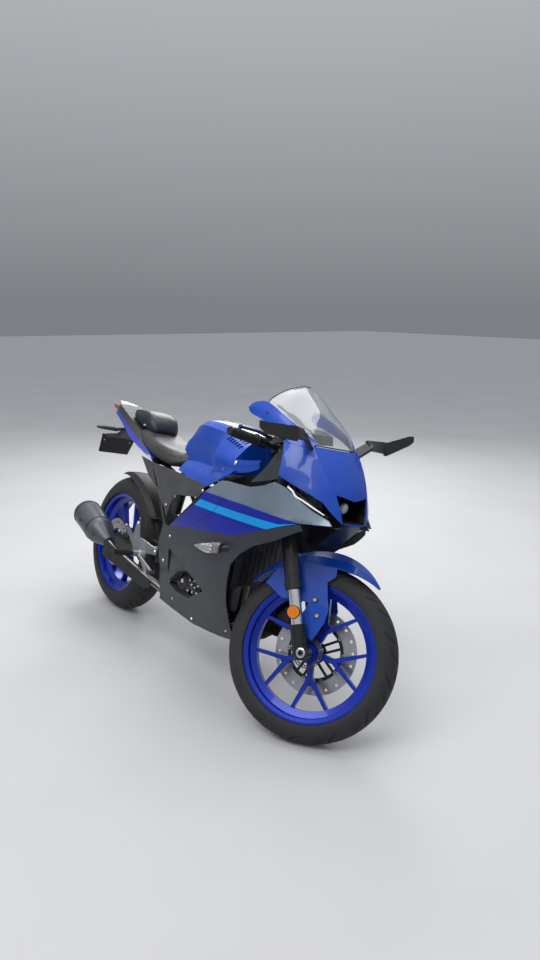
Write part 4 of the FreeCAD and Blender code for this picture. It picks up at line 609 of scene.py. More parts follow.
def thick_skin(grid, wall):
    """A closed panel of even thickness: the grid and a copy moved inward, joined round the border."""
    last_row = len(grid) - 1
    last_column = len(grid[0]) - 1
    inner = []
    for r, row in enumerate(grid):
        inner_row = []
        for c, point in enumerate(row):
            across = row[min(c + 1, last_column)] - row[max(c - 1, 0)]
            along = grid[min(r + 1, last_row)][c] - grid[max(r - 1, 0)][c]
            inner_row.append(point - across.cross(along).normalized() * wall)
        inner.append(inner_row)
    shape = bmesh.new()
    outer_rows = add_grid(shape, grid)
    inner_rows = add_grid(shape, inner)
    border = [(r, 0) for r in range(last_row)] + [(last_row, c) for c in range(last_column)]
    border += [(r, last_column) for r in range(last_row, 0, -1)] + [(0, c) for c in range(last_column, 0, -1)]
    for (r, c), (next_r, next_c) in zip(border, border[1:] + border[:1]):
        shape.faces.new((outer_rows[r][c], outer_rows[next_r][next_c], inner_rows[next_r][next_c],
                         inner_rows[r][c]))
    return shape


def add_shape(shape, other):
    """Join another bmesh to this one."""
    mesh = bpy.data.meshes.new("joined")
    other.to_mesh(mesh)
    other.free()
    shape.from_mesh(mesh)
    bpy.data.meshes.remove(mesh)


print("panel tools ready")

# %% [markdown]
# ## The fuel tank
# The tank is pressed steel under a moulded cover. It is narrow where the knees grip it and swells to
# a ridge ahead of them. The two templates close together at that ridge turn the smooth skin sharply
# there, which is the line that catches the light.

# %% Tank skin
# x, then (across, height) from the middle down to the lower edge
TANK_SECTIONS = [
    (-46, [(0, 905), (30, 901), (52, 890), (70, 868), (78, 838), (70, 832)]),
    (30, [(0, 973), (42, 968), (76, 944), (88, 892), (86, 812), (94, 776)]),
    (110, [(0, 986), (56, 982), (97, 956), (100, 896), (92, 820), (104, 775)]),
    (200, [(0, 989), (62, 984), (103, 954), (108, 894), (98, 820), (108, 778)]),
    (252, [(0, 984), (66, 977), (104, 951), (120, 888), (112, 816), (114, 781)]),
    (284, [(0, 977), (68, 969), (104, 946), (149, 874), (148, 812), (130, 785)]),
    (340, [(0, 963), (66, 955), (102, 932), (150, 866), (149, 818), (132, 797)]),
    (402, [(0, 946), (60, 940), (94, 920), (144, 860), (143, 828), (126, 812)]),
]
CAP_MIDDLE = Vector((150, 0, 970))
# Columns of the whole section where each shoulder keeps a sharp edge above the knee recess
SHOULDERS = (3, 7)
CAP_POCKET = [(0, 0), (52.2, 0), (52.2, 50), (0, 50)]
tank_rows = [at_x(x, half[:0:-1], -1) + at_x(x, half) for x, half in TANK_SECTIONS]
tank_shape = bmesh.new()
add_solid(tank_shape, smooth_grid(tank_rows, 8, 6, SHOULDERS))
cap_pocket = bmesh.new()
add_turned(cap_pocket, CAP_POCKET, CAP_MIDDLE, UP, 64)
tank_shape = combine(tank_shape, cap_pocket, "DIFFERENCE")
print("tank faces with the cap's pocket", len(tank_shape.faces))

# %% [markdown]
# ### Cooling slots in the tank cover
# Two rows of slanted slots are pressed into each shoulder. They are real pockets, cut with a row of
# small prisms that lean with the slots, so their edges catch light from every side.

# %% Cut the slots
SLOTS_IN_ROW = 6
SLOT_PITCH = 15.5
SLOT_DROP = 3.2
# x of the first slot, distance from the middle, height of the surface there
SLOT_ROWS = [(306, 84, 946), (300, 104, 931)]
slot_cutter = bmesh.new()
for row_x, row_y, row_z in SLOT_ROWS:
    for number in range(SLOTS_IN_ROW):
        for side in (1, -1):
            x = row_x + number * SLOT_PITCH
            z = row_z - number * SLOT_DROP
            low = [Vector((x + ahead, side * (row_y + out), z - down))
                   for ahead, out, down in ((-4, -7, 9), (4, -7, 10), (-2, 7, 18), (-10, 7, 17))]
            lift = Vector((6, side * 14, 30))
            add_solid(slot_cutter, [low, [corner + lift for corner in low]])
tank_shape = combine(tank_shape, slot_cutter, "DIFFERENCE")
print("tank faces with the slots", len(tank_shape.faces))

# %% [markdown]
# ### Skirts and wings of the tank
# Below the cover, a thin skirt flares out to meet the side panels. Ahead of it, a wing closes the
# gap beside the steering head. Both are thin panels, so a smooth grid with a wall of even
# thickness is enough.

# %% Skirts, wings and the cover's screws
# x, then (across, height) from the lower edge up
SKIRT_SECTIONS = [
    (20, [(132, 756), (118, 778), (98, 800)]),
    (90, [(141, 748), (125, 776), (96, 806)]),
    (160, [(147, 742), (130, 774), (100, 808)]),
    (230, [(153, 738), (140, 774), (114, 810)]),
    (300, [(170, 744), (158, 780), (138, 814)]),
    (360, [(187, 768), (166, 796), (140, 826)]),
    (425, [(194, 802), (168, 816), (144, 836)]),
]
WING_SECTIONS = [
    (372, [(144, 812), (150, 838), (144, 862)]),
    (440, [(146, 824), (150, 846), (147, 872)]),
    (500, [(146, 838), (150, 858), (148, 880)]),
    (560, [(146, 862), (149, 878), (147, 892)]),
]
PANEL_WALL = 3.0
# x, across, height and radius
COVER_SCREWS = [(424, 151, 858, 7.0), (352, 147, 822, 4.0)]
screw_shape = bmesh.new()
flaps = bmesh.new()
for sections in (SKIRT_SECTIONS, WING_SECTIONS):
    flap_rows = [at_x(x, pairs) for x, pairs in sections]
    add_shape(flaps, thick_skin(smooth_grid(flap_rows, 6, 5), PANEL_WALL))
for x, y, z, radius in COVER_SCREWS:
    add_bolt(screw_shape, (x, y, z), (0, 1, 0.15), radius, 4.0)
add_mirror(flaps)
add_shape(tank_shape, flaps)
tank = make_piece("tank_skin", tank_shape, "tank_blue", royal_blue)
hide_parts("fuel_tank")
make_piece("tank_screws", screw_shape, "chromed", chrome, both=True)
print("tank skirts from", SKIRT_SECTIONS[0][0], "to", SKIRT_SECTIONS[-1][0], "mm")

# %% [markdown]
# ## Nose cowl
# The nose is one thin moulding over the lamp duct. Its flat brow runs from the lamp up to the
# screen, with a crease on each side where it turns down to the flanks. A smooth skin with a sharp
# corner kept at one column of points gives that crease. The duct's mouth is then cut through it.

# %% Nose skin with its creases
# Height, then (x, across) from the middle to the rear edge
NOSE_LEVELS = [
    (748, [(922, 0), (919, 30), (915, 56), (880, 104), (800, 158), (700, 192)]),
    (790, [(910, 0), (907, 34), (901, 63), (862, 112), (790, 160), (700, 190)]),
    (830, [(894, 0), (890, 40), (882, 71), (836, 122), (780, 160), (700, 188)]),
    (865, [(878, 0), (873, 42), (863, 79), (815, 126), (764, 160), (700, 186)]),
    (905, [(852, 0), (846, 46), (835, 87), (790, 130), (745, 158), (690, 178)]),
    (943, [(822, 0), (815, 50), (801, 95), (762, 130), (724, 151), (680, 167)]),
    (984, [(785, 0), (777, 54), (761, 101), (728, 125), (700, 142), (660, 153)]),
]
NOSE_EDGE = [(667, 980), (692, 938), (704, 897), (711, 866), (816, 834), (860, 815), (909, 764),
             (925, 750), (960, 760), (960, 981)]
NOSE_CREASES = (3, 7)
# Further from the middle than any panel reaches, so a cut goes right through
FAR_ACROSS = 320.0
nose_rows = []
for height, half in NOSE_LEVELS:
    right_half = [Vector((x, -y, height)) for x, y in half[:0:-1]]
    nose_rows.append(right_half + [Vector((x, y, height)) for x, y in half])
nose_shape = thick_skin(smooth_grid(nose_rows, 8, 6, NOSE_CREASES), PANEL_WALL)
nose_shape = combine(nose_shape, side_prism(NOSE_EDGE, -FAR_ACROSS, FAR_ACROSS), "INTERSECT")
print("nose faces inside its edge", len(nose_shape.faces))

# %% [markdown]
# ### The duct's mouth
# The lamp looks out through a mouth with five corners. It is cut with a solid that is a little
# larger than the duct, so the skin doesn't rub on it.

# %% Cut the duct's mouth through the nose
# Across and height of the corners, in front and at the back
DUCT_MOUTH = [(-73, 850), (0, 834), (73, 850), (51, 758), (-51, 758)]
DUCT_BACK = [(-62, 838), (0, 828), (62, 838), (46, 768), (-46, 768)]
DUCT_FOOT = 758.0
DUCT_MIDDLE = 805.0
DUCT_SPARE = 1.012


def duct_ring(corners, foot_x, slope):
    ring = []
    for y, z in corners:
        height = DUCT_MIDDLE + (z - DUCT_MIDDLE) * DUCT_SPARE
        ring.append(Vector((foot_x - (height - DUCT_FOOT) * slope, y * DUCT_SPARE, height)))
    return ring


duct_cutter = bmesh.new()
add_solid(duct_cutter, [duct_ring(DUCT_MOUTH, 965, 0.36), duct_ring(DUCT_BACK, 816, 0.1)])
nose_shape = combine(nose_shape, duct_cutter, "DIFFERENCE")
print("nose faces with the mouth", len(nose_shape.faces))

# %% [markdown]
# ### The lobes beside the screen
# Two blue lobes reach back along the screen's lower edge. Each is screwed on with two black button
# screws.

# %% Lobes and their screws
# x, then across and height of the lower edge and of the upper edge
LOBE_SECTIONS = [
    (438, 150, 1061, 149, 1064),
    (446, 151, 1050, 147, 1076),
    (470, 152, 1041, 140, 1088),
    (520, 153, 1032, 130, 1092),
    (610, 154, 1010, 127, 1061),
    (693, 150, 978, 119, 1030),
    (757, 116, 971, 78, 990),
]
LOBE_BULGE = 4.0
LOBE_SCREWS = [(466, 150, 1064), (541, 146, 1056)]
lobe_rows = []
for x, low_y, low_z, top_y, top_z in LOBE_SECTIONS:
    bulge = ((low_y + top_y) / 2 + LOBE_BULGE, (low_z + top_z) / 2)
    lobe_rows.append(at_x(x, [(low_y, low_z), bulge, (top_y, top_z)]))
lobes = thick_skin(smooth_grid(lobe_rows, 8, 5), PANEL_WALL)
lobe_screws = bmesh.new()
for x, y, z in LOBE_SCREWS:
    add_bolt(lobe_screws, (x, y - 4, z), (0, 1, 0.4), 5.5, 4.5)
add_mirror(lobes)
add_shape(nose_shape, lobes)
nose = make_piece("nose_skin", nose_shape, "blue_gloss", royal_blue)
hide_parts("nose_cowl")
make_piece("lobe_screws", lobe_screws, "black_metal", coated_black, both=True)

# %% [markdown]
# ## The windscreen
# The screen is a sheet of clear plastic, blown into a bubble. Its outline narrows upwards to a
# rounded tip. A dark edge runs all round it, because light leaves clear plastic at its cut edge.

# %% Screen sheet and its edge
# Height, x at the middle, x at the edge, half width
SCREEN_LEVELS = [
    (984, 782, 756, 86),
    (1008, 759, 716, 106),
    (1032, 735, 676, 118),
    (1064, 701, 592, 126),
    (1092, 668, 512, 124),
    (1130, 619, 516, 88),
    (1158, 579, 535, 46),
    (1171, 560, 551, 14),
]
SHOULDER_ACROSS = 0.72
SHOULDER_BULGE = 0.21
screen_rows = []
for height, middle, edge, half in SCREEN_LEVELS:
    bulge = (middle + edge) / 2 + (middle - edge) * SHOULDER_BULGE
    shoulder = half * SHOULDER_ACROSS
    level = ((edge, -half), (bulge, -shoulder), (middle, 0), (bulge, shoulder), (edge, half))
    screen_rows.append([Vector((x, y, height)) for x, y in level])
screen_grid = smooth_grid(screen_rows, 8, 8)
screen = make_piece("screen_sheet", thick_skin(screen_grid, PANEL_WALL), "clear_screen", screen_clear)
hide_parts("windscreen")
rim_points = [row[0] for row in screen_grid] + screen_grid[-1][1:-1] + [row[-1] for row in screen_grid[::-1]]
edge_shape = bmesh.new()
add_tube(edge_shape, rim_points[::4], 1.8, 8, 3)
add_tube(edge_shape, screen_grid[0][::4], 2.2, 8, 3)
make_piece("screen_edge", edge_shape, "black_plastic", matte_black)
print("screen height", SCREEN_LEVELS[-1][0], "mm")

# %% [markdown]
# ## Side panels
# Three panels share one flowing side: silver above, deep blue in the middle and grey plastic below.
# They are one skin, cut along the lines where the real panels meet. Drawing the skin once keeps the
# joints flush. A sharp corner is kept along the crest where the side turns inwards at the top.

# %% One skin for the whole side
# x, then (across, height) at the foot, shin, knee, belt, crest and top
SIDE_SECTIONS = [
    (-10, [(104, 205), (150, 330), (176, 440), (190, 545), (205, 715), (196, 770)]),
    (160, [(110, 200), (166, 335), (194, 450), (211, 560), (218, 722), (200, 775)]),
    (360, [(112, 205), (178, 350), (204, 475), (220, 595), (222, 734), (204, 790)]),
    (540, [(106, 236), (178, 370), (203, 495), (216, 620), (217, 738), (192, 806)]),
    (680, [(96, 300), (168, 440), (190, 548), (201, 650), (203, 739), (184, 842)]),
    (800, [(84, 380), (138, 520), (156, 598), (166, 670), (166, 736), (146, 815)]),
    (915, [(60, 470), (84, 590), (90, 648), (92, 700), (88, 748), (70, 775)]),
]
CREST_COLUMN = 4
SIDE_NEAR = 20.0
side_grid = smooth_grid([at_x(x, pairs) for x, pairs in SIDE_SECTIONS], 8, 5, (CREST_COLUMN,))

# Outlines in side view, as (x, height)
SILVER_EDGE = [(370, 735), (433, 790), (471, 795), (530, 797), (593, 801), (658, 820), (715, 852), (756, 831),
               (793, 807), (842, 782), (892, 763), (906, 750), (826, 735), (613, 740), (483, 737)]
BLUE_EDGE = [(156, 553), (256, 627), (320, 676), (368, 735), (483, 737), (613, 740), (826, 735),
             (694, 676), (577, 626), (300, 581), (267, 578)]
GREY_EDGE = [(150, 551), (267, 578), (300, 581), (577, 626), (694, 676), (826, 732), (836, 715), (760, 660),
             (676, 618), (621, 576), (579, 526), (568, 473), (562, 354), (548, 238), (304, 205), (20, 212),
             (36, 241), (74, 358), (61, 453), (98, 545)]
ENGINE_WINDOW = [(141, 321), (237, 396), (301, 420), (340, 412), (406, 387), (424, 377), (307, 312),
                 (202, 306)]
FACET_TOP = (162, 466)
FACET_FOOT = [(147, 334), (190, 369), (234, 402), (298, 428)]


def one_side(outline):
    """A cutter with this outline through the left side only."""
    return side_prism(outline, SIDE_NEAR, FAR_ACROSS)


def side_piece(outline, lift=0.0, wall=PANEL_WALL):
    """The part of the side skin inside an outline; lift moves it outward, for a stripe."""
    lifted = [[point + LEFT * lift for point in row] for row in side_grid]
    return combine(thick_skin(lifted, wall), one_side(outline), "INTERSECT")


silver = make_piece("silver_panels", side_piece(SILVER_EDGE), "silver_gloss", silver_grey, both=True)
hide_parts("upper_side_panels")
blue = make_piece("blue_panels", side_piece(BLUE_EDGE), "deep_blue", deep_blue, both=True)
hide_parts("blue_side_panels")

# %% [markdown]
# ### The grey lower fairing and its window
# The lower fairing is satin plastic with a window at the engine cover. The window's edge is folded
# inwards as a lip, so the panel looks thick. Its lower lip faces the sky and reads as a pale line.

# %% Lower fairing with its folded window
# Depth of each turn of the lip, and how far it has closed towards the window's middle
LIP_TURNS = [(0.0, 1.0), (4.0, 0.96), (22.0, 0.88)]
# How far inside the outer skin a lip or a facet starts
INSET = 0.4
grey_shape = combine(side_piece(GREY_EDGE), one_side(ENGINE_WINDOW), "DIFFERENCE")
grey_shape = combine(grey_shape, one_side([FACET_TOP] + FACET_FOOT[::-1]), "DIFFERENCE")


def side_across(x, z):
    """How far out the side skin lies at a side-view place: the nearest point of the grid."""
    return min((abs(point.x - x) + abs(point.z - z), point.y) for row in side_grid for point in row)[1]


window_middle = Vector((285, 0, 360))
lip_rows = []
for depth, shrink in LIP_TURNS:
    row = []
    for x, z in ENGINE_WINDOW:
        offset = Vector((x, 0, z)) - window_middle
        row.append(window_middle + offset * shrink + LEFT * (side_across(x, z) - INSET - depth))
    lip_rows.append(row + row[:1])
add_shape(grey_shape, thick_skin(lip_rows, 2.0))
print("window lip", LIP_TURNS[-1][0], "mm deep")

# %% [markdown]
# A three-cornered facet is sunk into the panel above the window. Its top corner lies deepest and its
# lower edge is flush, so the facet tilts towards the sky and looks paler than the panel round it.

# %% The sunk facet above the window
FACET_DEPTH = 13.0
FACET_STEPS = 5


def facet_row(corner, steps, sunk=1.0):
    """Points from the facet's top towards one corner of its foot; sunk is the share of its depth."""
    row = []
    for step in range(steps):
        share = step / FACET_STEPS
        x = FACET_TOP[0] + (corner[0] - FACET_TOP[0]) * share
        z = FACET_TOP[1] + (corner[1] - FACET_TOP[1]) * share
        row.append(Vector((x, side_across(x, z) - INSET - sunk * FACET_DEPTH * (1 - share), z)))
    return row


add_shape(grey_shape, thick_skin([facet_row(corner, FACET_STEPS + 1) for corner in FACET_FOOT], 2.0))
for corner in (FACET_FOOT[0], FACET_FOOT[-1]):
    add_shape(grey_shape, thick_skin([facet_row(corner, FACET_STEPS, sunk) for sunk in (0.0, 1.0)], 1.6))
grey = make_piece("lower_fairing_panels", grey_shape, "grey_plastic", fairing_grey, both=True)
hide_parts("lower_fairings")

# %% [markdown]
# ### The stripe and the seam
# The light blue stripe is a film on the deep blue panel. Here it is a very thin skin, cut from the
# same side a little further out, so it follows every curve. The panel is in two halves, and the
# joint between them shows as a fine dark line.

# %% Stripe, seam and panel screws
STRIPE_EDGE = [(318, 674), (352, 702), (458, 704), (759, 714), (826, 734), (830, 728), (792, 704), (750, 687),
               (429, 677)]
STRIPE_LIFT = 0.5
STRIPE_WALL = 0.7
stripe_shape = combine(side_piece(STRIPE_EDGE, STRIPE_LIFT, STRIPE_WALL), one_side(BLUE_EDGE), "INTERSECT")
make_piece("side_stripes", stripe_shape, "deep_blue", cyan_stripe, both=True)

SEAM = [Vector((487, 735)), Vector((452, 690)), Vector((401, 647)), Vector((330, 606)), Vector((274, 580))]
# x, height and radius of the screws in the grey panel
SIDE_SCREWS = [(168, 515, 5.5), (112, 401, 5.5), (155, 259, 5.5), (300, 226, 5.0), (520, 262, 5.0)]
seam_shape = bmesh.new()
seam_points = [Vector((x, side_across(x, z) + 0.2, z)) for x, z in smooth_row(SEAM, 5)]
add_tube(seam_shape, seam_points, 0.9, 6, 1)
make_piece("panel_seams", seam_shape, "black_plastic", matte_black, both=True)
side_screws = bmesh.new()
for x, z, radius in SIDE_SCREWS:
    add_bolt(side_screws, (x, side_across(x, z) - 1.5, z), (0, 1, -0.25), radius, 4.5)
make_piece("side_screws", side_screws, "chromed", chrome, both=True)
print("side grid", len(side_grid), "by", len(side_grid[0]))

# %% [markdown]
# ## Seats
# Both seats are foam under vinyl. The foam swells the cover between its edges, so a cloth
# simulation with a little pressure inside gives a true padded form. The CAD solid gives the place
# and size: the foam starts a few millimetres inside it and may only swell a little.

# %% Foam with an even mesh
FOAM_VOXEL = 0.006


def closed_ring(points, steps):
    """A smooth closed ring through the points."""
    around = [points[-1]] + list(points) + list(points[:2])
    row = smooth_row(around, steps)
    return row[steps:steps * (len(points) + 1)]


def even_foam(name, sections, finish):
    """A closed pad through rings of points, remeshed into small even faces for the cloth."""
    shape = bmesh.new()
    rings = [closed_ring(section, 4) for section in sections]
    add_solid(shape, smooth_along(rings, 6))
    bmesh.ops.recalc_face_normals(shape, faces=shape.faces)
    stock = loose_object("foam_stock", shape)
    stock.data.transform(BIKE)
    remesh = stock.modifiers.new("even_mesh", "REMESH")
    remesh.mode = "VOXEL"
    remesh.voxel_size = FOAM_VOXEL
    graph = bpy.context.evaluated_depsgraph_get()
    mesh = bpy.data.meshes.new_from_object(stock.evaluated_get(graph))
    bpy.data.objects.remove(stock)
    mesh.name = name
    mesh.materials.clear()
    mesh.materials.append(finish)
    pad = bpy.data.objects.new(name, mesh)
    bpy.context.scene.collection.objects.link(pad)
    return pad


print("foam mesh", FOAM_VOXEL * 1000, "mm")

# %% [markdown]
# ### Swelling the foam
# The cloth runs for a few frames with pressure inside and no gravity, and each point may move only
# so far. Three rounds of smoothing then even out the vinyl.

# %% Swell and smooth a pad
FOAM_PRESSURE = 4.0
FOAM_FRAMES = 20
SMOOTH_ROUNDS = 3


def swell(pad, most):
    """Let cloth pressure move the pad's points outward, by at most that many metres."""
    vertices = pad.data.vertices
    start = [vertex.co.copy() for vertex in vertices]
    cover = pad.modifiers.new("cover", "CLOTH")
    cover.settings.use_pressure = True
    cover.settings.uniform_pressure_force = FOAM_PRESSURE
    cover.settings.effector_weights.gravity = 0.0
    for frame_number in range(1, FOAM_FRAMES + 1):
        bpy.context.scene.frame_set(frame_number)
    graph = bpy.context.evaluated_depsgraph_get()
    swollen = [vertex.co.copy() for vertex in pad.evaluated_get(graph).data.vertices]
    pad.modifiers.remove(cover)
    for vertex, before, after in zip(vertices, start, swollen):
        move = after - before
        if move.length > most:
            move = move.normalized() * most
        vertex.co = before + move
    bpy.context.scene.frame_set(1)


def padded_piece(name, sections, most, finish):
    """A foam pad from rings of points that rides on the chassis."""
    pad = even_foam(name, sections, finish)
    mesh = pad.data
    swell(pad, most)
    shape = bmesh.new()
    shape.from_mesh(mesh)
    for _ in range(SMOOTH_ROUNDS):
        bmesh.ops.smooth_vert(shape, verts=shape.verts, factor=0.5, use_axis_x=True, use_axis_y=True,
                              use_axis_z=True)
    shape.to_mesh(mesh)
    shape.free()
    mesh.shade_smooth()
    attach(pad, "chassis")
    print(name, len(mesh.polygons), "faces")
    return pad


print("foam pressure", FOAM_PRESSURE, "for", FOAM_FRAMES, "frames")

# %% [markdown]
# ### Finding the foam's surface
# Piping and the lock must lie on the swollen foam, whose shape nobody drew. So their points are
# dropped onto the nearest place of the pad.

# %% Drop points onto a pad


def on_pad(pad, points, lift):
    """Points in millimetres dropped onto the nearest place of a pad, a little outside it."""
    tree = BVHTree.FromPolygons([v.co for v in pad.data.vertices], [p.vertices for p in pad.data.polygons])
    back = BIKE.inverted()
    dropped = []
    for point in points:
        place, normal, _, _ = tree.find_nearest(BIKE @ point)
        dropped.append(back @ (place + normal * lift * MM))
    return dropped


print("pad helper ready")

# %% [markdown]
# ### The rider's seat
# The seat is dished: narrow and low at the tank, wide in the middle, and turned up at the back to
# hold the rider. Its side edges roll down over the rails.

# %% Rider's seat
# x, half width, height of the edge, of the top and of the bottom
SEAT_SECTIONS = [(-432, 98, 855, 880, 822), (-385, 112, 838, 866, 812), (-330, 127, 815, 850, 804),
                 (-260, 138, 793, 836, 788), (-180, 144, 779, 829, 770), (-60, 134, 771, 820, 762),
                 (-10, 112, 784, 826, 770), (12, 92, 800, 829, 780)]
DISHED_FROM_X = -300.0
seat_rings = []
for x, half, edge, top, bottom in SEAT_SECTIONS:
    dish = 4 if x > DISHED_FROM_X else 1
    around = ((-1, edge), (-0.86, top - 14), (-0.62, top - 3), (0, top - dish), (0.62, top - 3),
              (0.86, top - 14), (1, edge), (0.8, bottom), (-0.8, bottom))
    seat_rings.append(at_x(x, [(half * share, height) for share, height in around]))
seat = padded_piece("seat_foam", seat_rings, 0.005, seat_vinyl)
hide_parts("rider_seat")

# %% [markdown]
# ### The pillion pad
# The rear pad stands up behind the rider, with piping sewn along its top edge and a small round
# lock in its side. The piping is a thin tube laid on the swollen foam, so it sits in the real seam.

# %% Pillion pad, piping and lock
PAD_SECTIONS = [(-594, 50, 928, 940, 906), (-560, 62, 914, 945, 892), (-520, 72, 904, 946, 884),
                (-470, 80, 893, 946, 876), (-430, 82, 886, 943, 871), (-392, 79, 872, 930, 862),
                (-366, 68, 862, 904, 857), (-352, 56, 856, 874, 853)]
pad_rings = []
for x, half, edge, top, bottom in PAD_SECTIONS:
    flank = (edge + top) / 2 + 4
    around = ((-1, edge), (-0.94, flank), (-0.72, top - 3), (0, top), (0.72, top - 3), (0.94, flank),
              (1, edge), (0.8, bottom), (-0.8, bottom))
    pad_rings.append(at_x(x, [(half * share, height) for share, height in around]))
pillion = padded_piece("pillion_foam", pad_rings, 0.004, pad_vinyl)
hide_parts("pillion_pad")
piping_shape = bmesh.new()
# Pad, its sections, the seam's share of the half width, its drop from the top, lift and radius
for pad, sections, share, drop, lift, radius in ((pillion, PAD_SECTIONS, 0.78, 5, 0.6, 1.7),
                                                 (seat, SEAT_SECTIONS, 0.9, 17, -0.4, 1.6)):
    for side in (1, -1):
        line = [Vector((x, side * half * share, top - drop)) for x, half, _, top, _ in sections]
        add_tube(piping_shape, on_pad(pad, smooth_row(line, 4), lift), radius, 8, 1)
make_piece("seat_piping", piping_shape, "seat_vinyl", matte_black)
LOCK = [(0, 0), (8.5, 0), (8.5, 2.6), (7.4, 3.4), (6.2, 3.4), (5.8, 2.6), (1.6, 2.6), (1.4, 1.4), (0, 1.4)]
lock_shape = bmesh.new()
lock_place = on_pad(pillion, [Vector((-424, -84, 884))], -1.5)[0]
add_turned(lock_shape, LOCK, lock_place, (0.1, -1, 0.35), 24)
make_piece("pillion_lock", lock_shape, "chromed", chrome)

# %% [markdown]
# ## Tyres
# A road tyre is round in section, with long curved grooves that lead water from the middle to the
# shoulders. The tread is a fine grid turned about the axle, and each grid point near a groove is
# pushed in. Real geometry is used because the grooves show at the tyre's outline.

# %% The pattern of grooves
GROOVE_DEPTH = 5.0
GROOVE_HALF = 4.2
# Start and end across the tread, the start's place round the tyre, then the groove's lean and curl
GROOVES = [
    (7.0, 47.0, 0.0, 0.55, 0.020),
    (22.0, 58.0, 62.0, 0.9, 0.010),
    (12.0, 30.0, 96.0, 1.3, 0.012),
]


def groove_depth(around, across, pitch):
    """Depth of the tread at a place: around and across in millimetres on the crown."""
    if across < 0:
        around += pitch / 2
        across = -across
    deepest = 0.0
    for start, end, shift, lean, curl in GROOVES:
        if not start - 2 < across < end + 2:
            continue
        run = across - start
        centre = shift + lean * run + curl * run * run
        gap = (around - centre + pitch / 2) % pitch - pitch / 2
        distance = abs(gap) / math.hypot(1.0, lean + 2 * curl * run)
        taper = min(1.0, (run + 2) / 4, (end + 2 - across) / 10)
        half = GROOVE_HALF * (0.5 + 0.5 * taper)
        if distance < half:
            deepest = max(deepest, GROOVE_DEPTH * taper * (1 - (distance / half) ** 4))
    return deepest


print("grooves in a pitch", len(GROOVES) * 2)

# %% [markdown]
# ### The tyre's section
# From the crown the section is part of a circle down to the rim's flange. Below it, the bead turns
# in to the rim. Both tyres come from one function, with their own radius and width.

# %% Both tyres
BEAD_RADIUS = 219.3
FLANGE_TOP = 233.0
PITCHES = 13
STEPS_IN_PITCH = 40
ACROSS_STEPS = 48


def make_tyre(name, node, place, body, radius, crown, heel):
    """A tyre from its crown radius to its beads, grooved and closed inside the rim."""
    centre = radius - crown
    last = math.acos((FLANGE_TOP - centre) / crown)
    pitch = 2 * math.pi * radius / PITCHES
    bead = [(heel, FLANGE_TOP - 3), (heel, BEAD_RADIUS + 1), (heel - 9, BEAD_RADIUS + 6)]
    grid = []
    for turn in circle(PITCHES * STEPS_IN_PITCH):
        row = bead[::-1]
        for j in range(ACROSS_STEPS + 1):
            swing = last * (1 - 2 * j / ACROSS_STEPS)
            depth = groove_depth(turn * radius, crown * swing, pitch)
            row.append(((crown - depth) * math.sin(swing), centre + (crown - depth) * math.cos(swing)))
        row += [(-y, r) for y, r in bead]
        grid.append([Vector((r * math.cos(turn), y, r * math.sin(turn))) for y, r in row])
    shape = bmesh.new()
    add_grid(shape, grid + grid[:1], loop=True)
    tyre = make_piece(name, shape, "tyre_rubber", tyre_black, place=place, body=body, smooth=math.radians(60))
    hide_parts(node)


make_tyre("front_tyre_skin", "front_tyre", FRONT_WHEEL, "front_wheel", 295.9, 50.0, 34.5)
make_tyre("rear_tyre_skin", "rear_tyre", REAR_WHEEL, "rear_wheel", 313.9, 70.0, 52.5)

# %% [markdown]
# ## Brake carriers and hub details
# Rings, arms and toothed wheels are cut from plate. A flat ring is a turned form with a square
# section, and a flat bar joins two points of it. Rings of bolts come from one loop.

# %% Helpers for flat rings and bars


def add_ring(shape, inner, outer, low, high, sides=72):
    """A flat ring about the axle, from low to high across the bike."""
    profile = [(inner, low), (outer, low), (outer, high), (inner, high), (inner, low)]
    add_turned(shape, profile, (0, 0, 0), LEFT, sides)


def at_turn(radius, turn, across):
    """A point at this angle round the axle."""
    return Vector((radius * math.cos(turn), across, radius * math.sin(turn)))


def add_bar(shape, start, end, wide, thick):
    """A flat bar between two points of a wheel, thick across the bike."""
    side = (end - start).normalized().cross(LEFT).normalized() * wide / 2
    depth = LEFT * thick / 2
    add_solid(shape, [[point + side + depth, point - side + depth, point - side - depth, point + side - depth]
                      for point in (start, end)])


print("wheel helpers ready")

# %% [markdown]
# ### The front disc's carrier
# The front disc floats on a black ring with steel buttons, and ten slim arms bolt the ring to the
# hub. A toothed ring on the other side tells the brake system how fast the wheel turns.

# %% Front disc carrier, wheel speed ring and valve
DISC_ACROSS = 60.0
ARM_LEAN = 0.16
HUB_SPREAD = 2.2
BUTTON = [(0, 0), (8, 0), (8, 1.6), (6.8, 2.4), (3.4, 2.4), (3.0, 0.8), (0, 0.8)]
carrier = bmesh.new()
add_ring(carrier, 88, 99.5, DISC_ACROSS - 3.4, DISC_ACROSS + 3.4)
for turn in circle(5, 0.5):
    for lean in (-ARM_LEAN, ARM_LEAN):
        hub_end = at_turn(36, turn + lean * HUB_SPREAD, DISC_ACROSS - 4)
        add_bar(carrier, hub_end, at_turn(90, turn + lean, DISC_ACROSS), 9, 5)
add_ring(carrier, 24, 40, DISC_ACROSS - 12, DISC_ACROSS - 2, 40)
buttons = bmesh.new()
for turn in circle(10):
    for side in (1, -1):
        add_turned(buttons, BUTTON, at_turn(99, turn + 0.2, DISC_ACROSS + side * 2.3), (0, side, 0), 20)
for turn in circle(5):
    add_bolt(buttons, at_turn(32, turn + 0.63, DISC_ACROSS - 2), LEFT, 4.5, 5)
speed_ring = bmesh.new()
add_ring(speed_ring, 40, 43, -52, -49, 60)
for turn in circle(40):
    add_bar(speed_ring, at_turn(42, turn, -50.5), at_turn(49, turn, -50.5), 2.6, 1.6)
add_ring(speed_ring, 49, 52, -51.6, -49.4, 60)
valve = bmesh.new()
add_tube(valve, [(0, 0, 196), (0, 3, 180), (0, 6, 162)], 4.0, 10, 3)
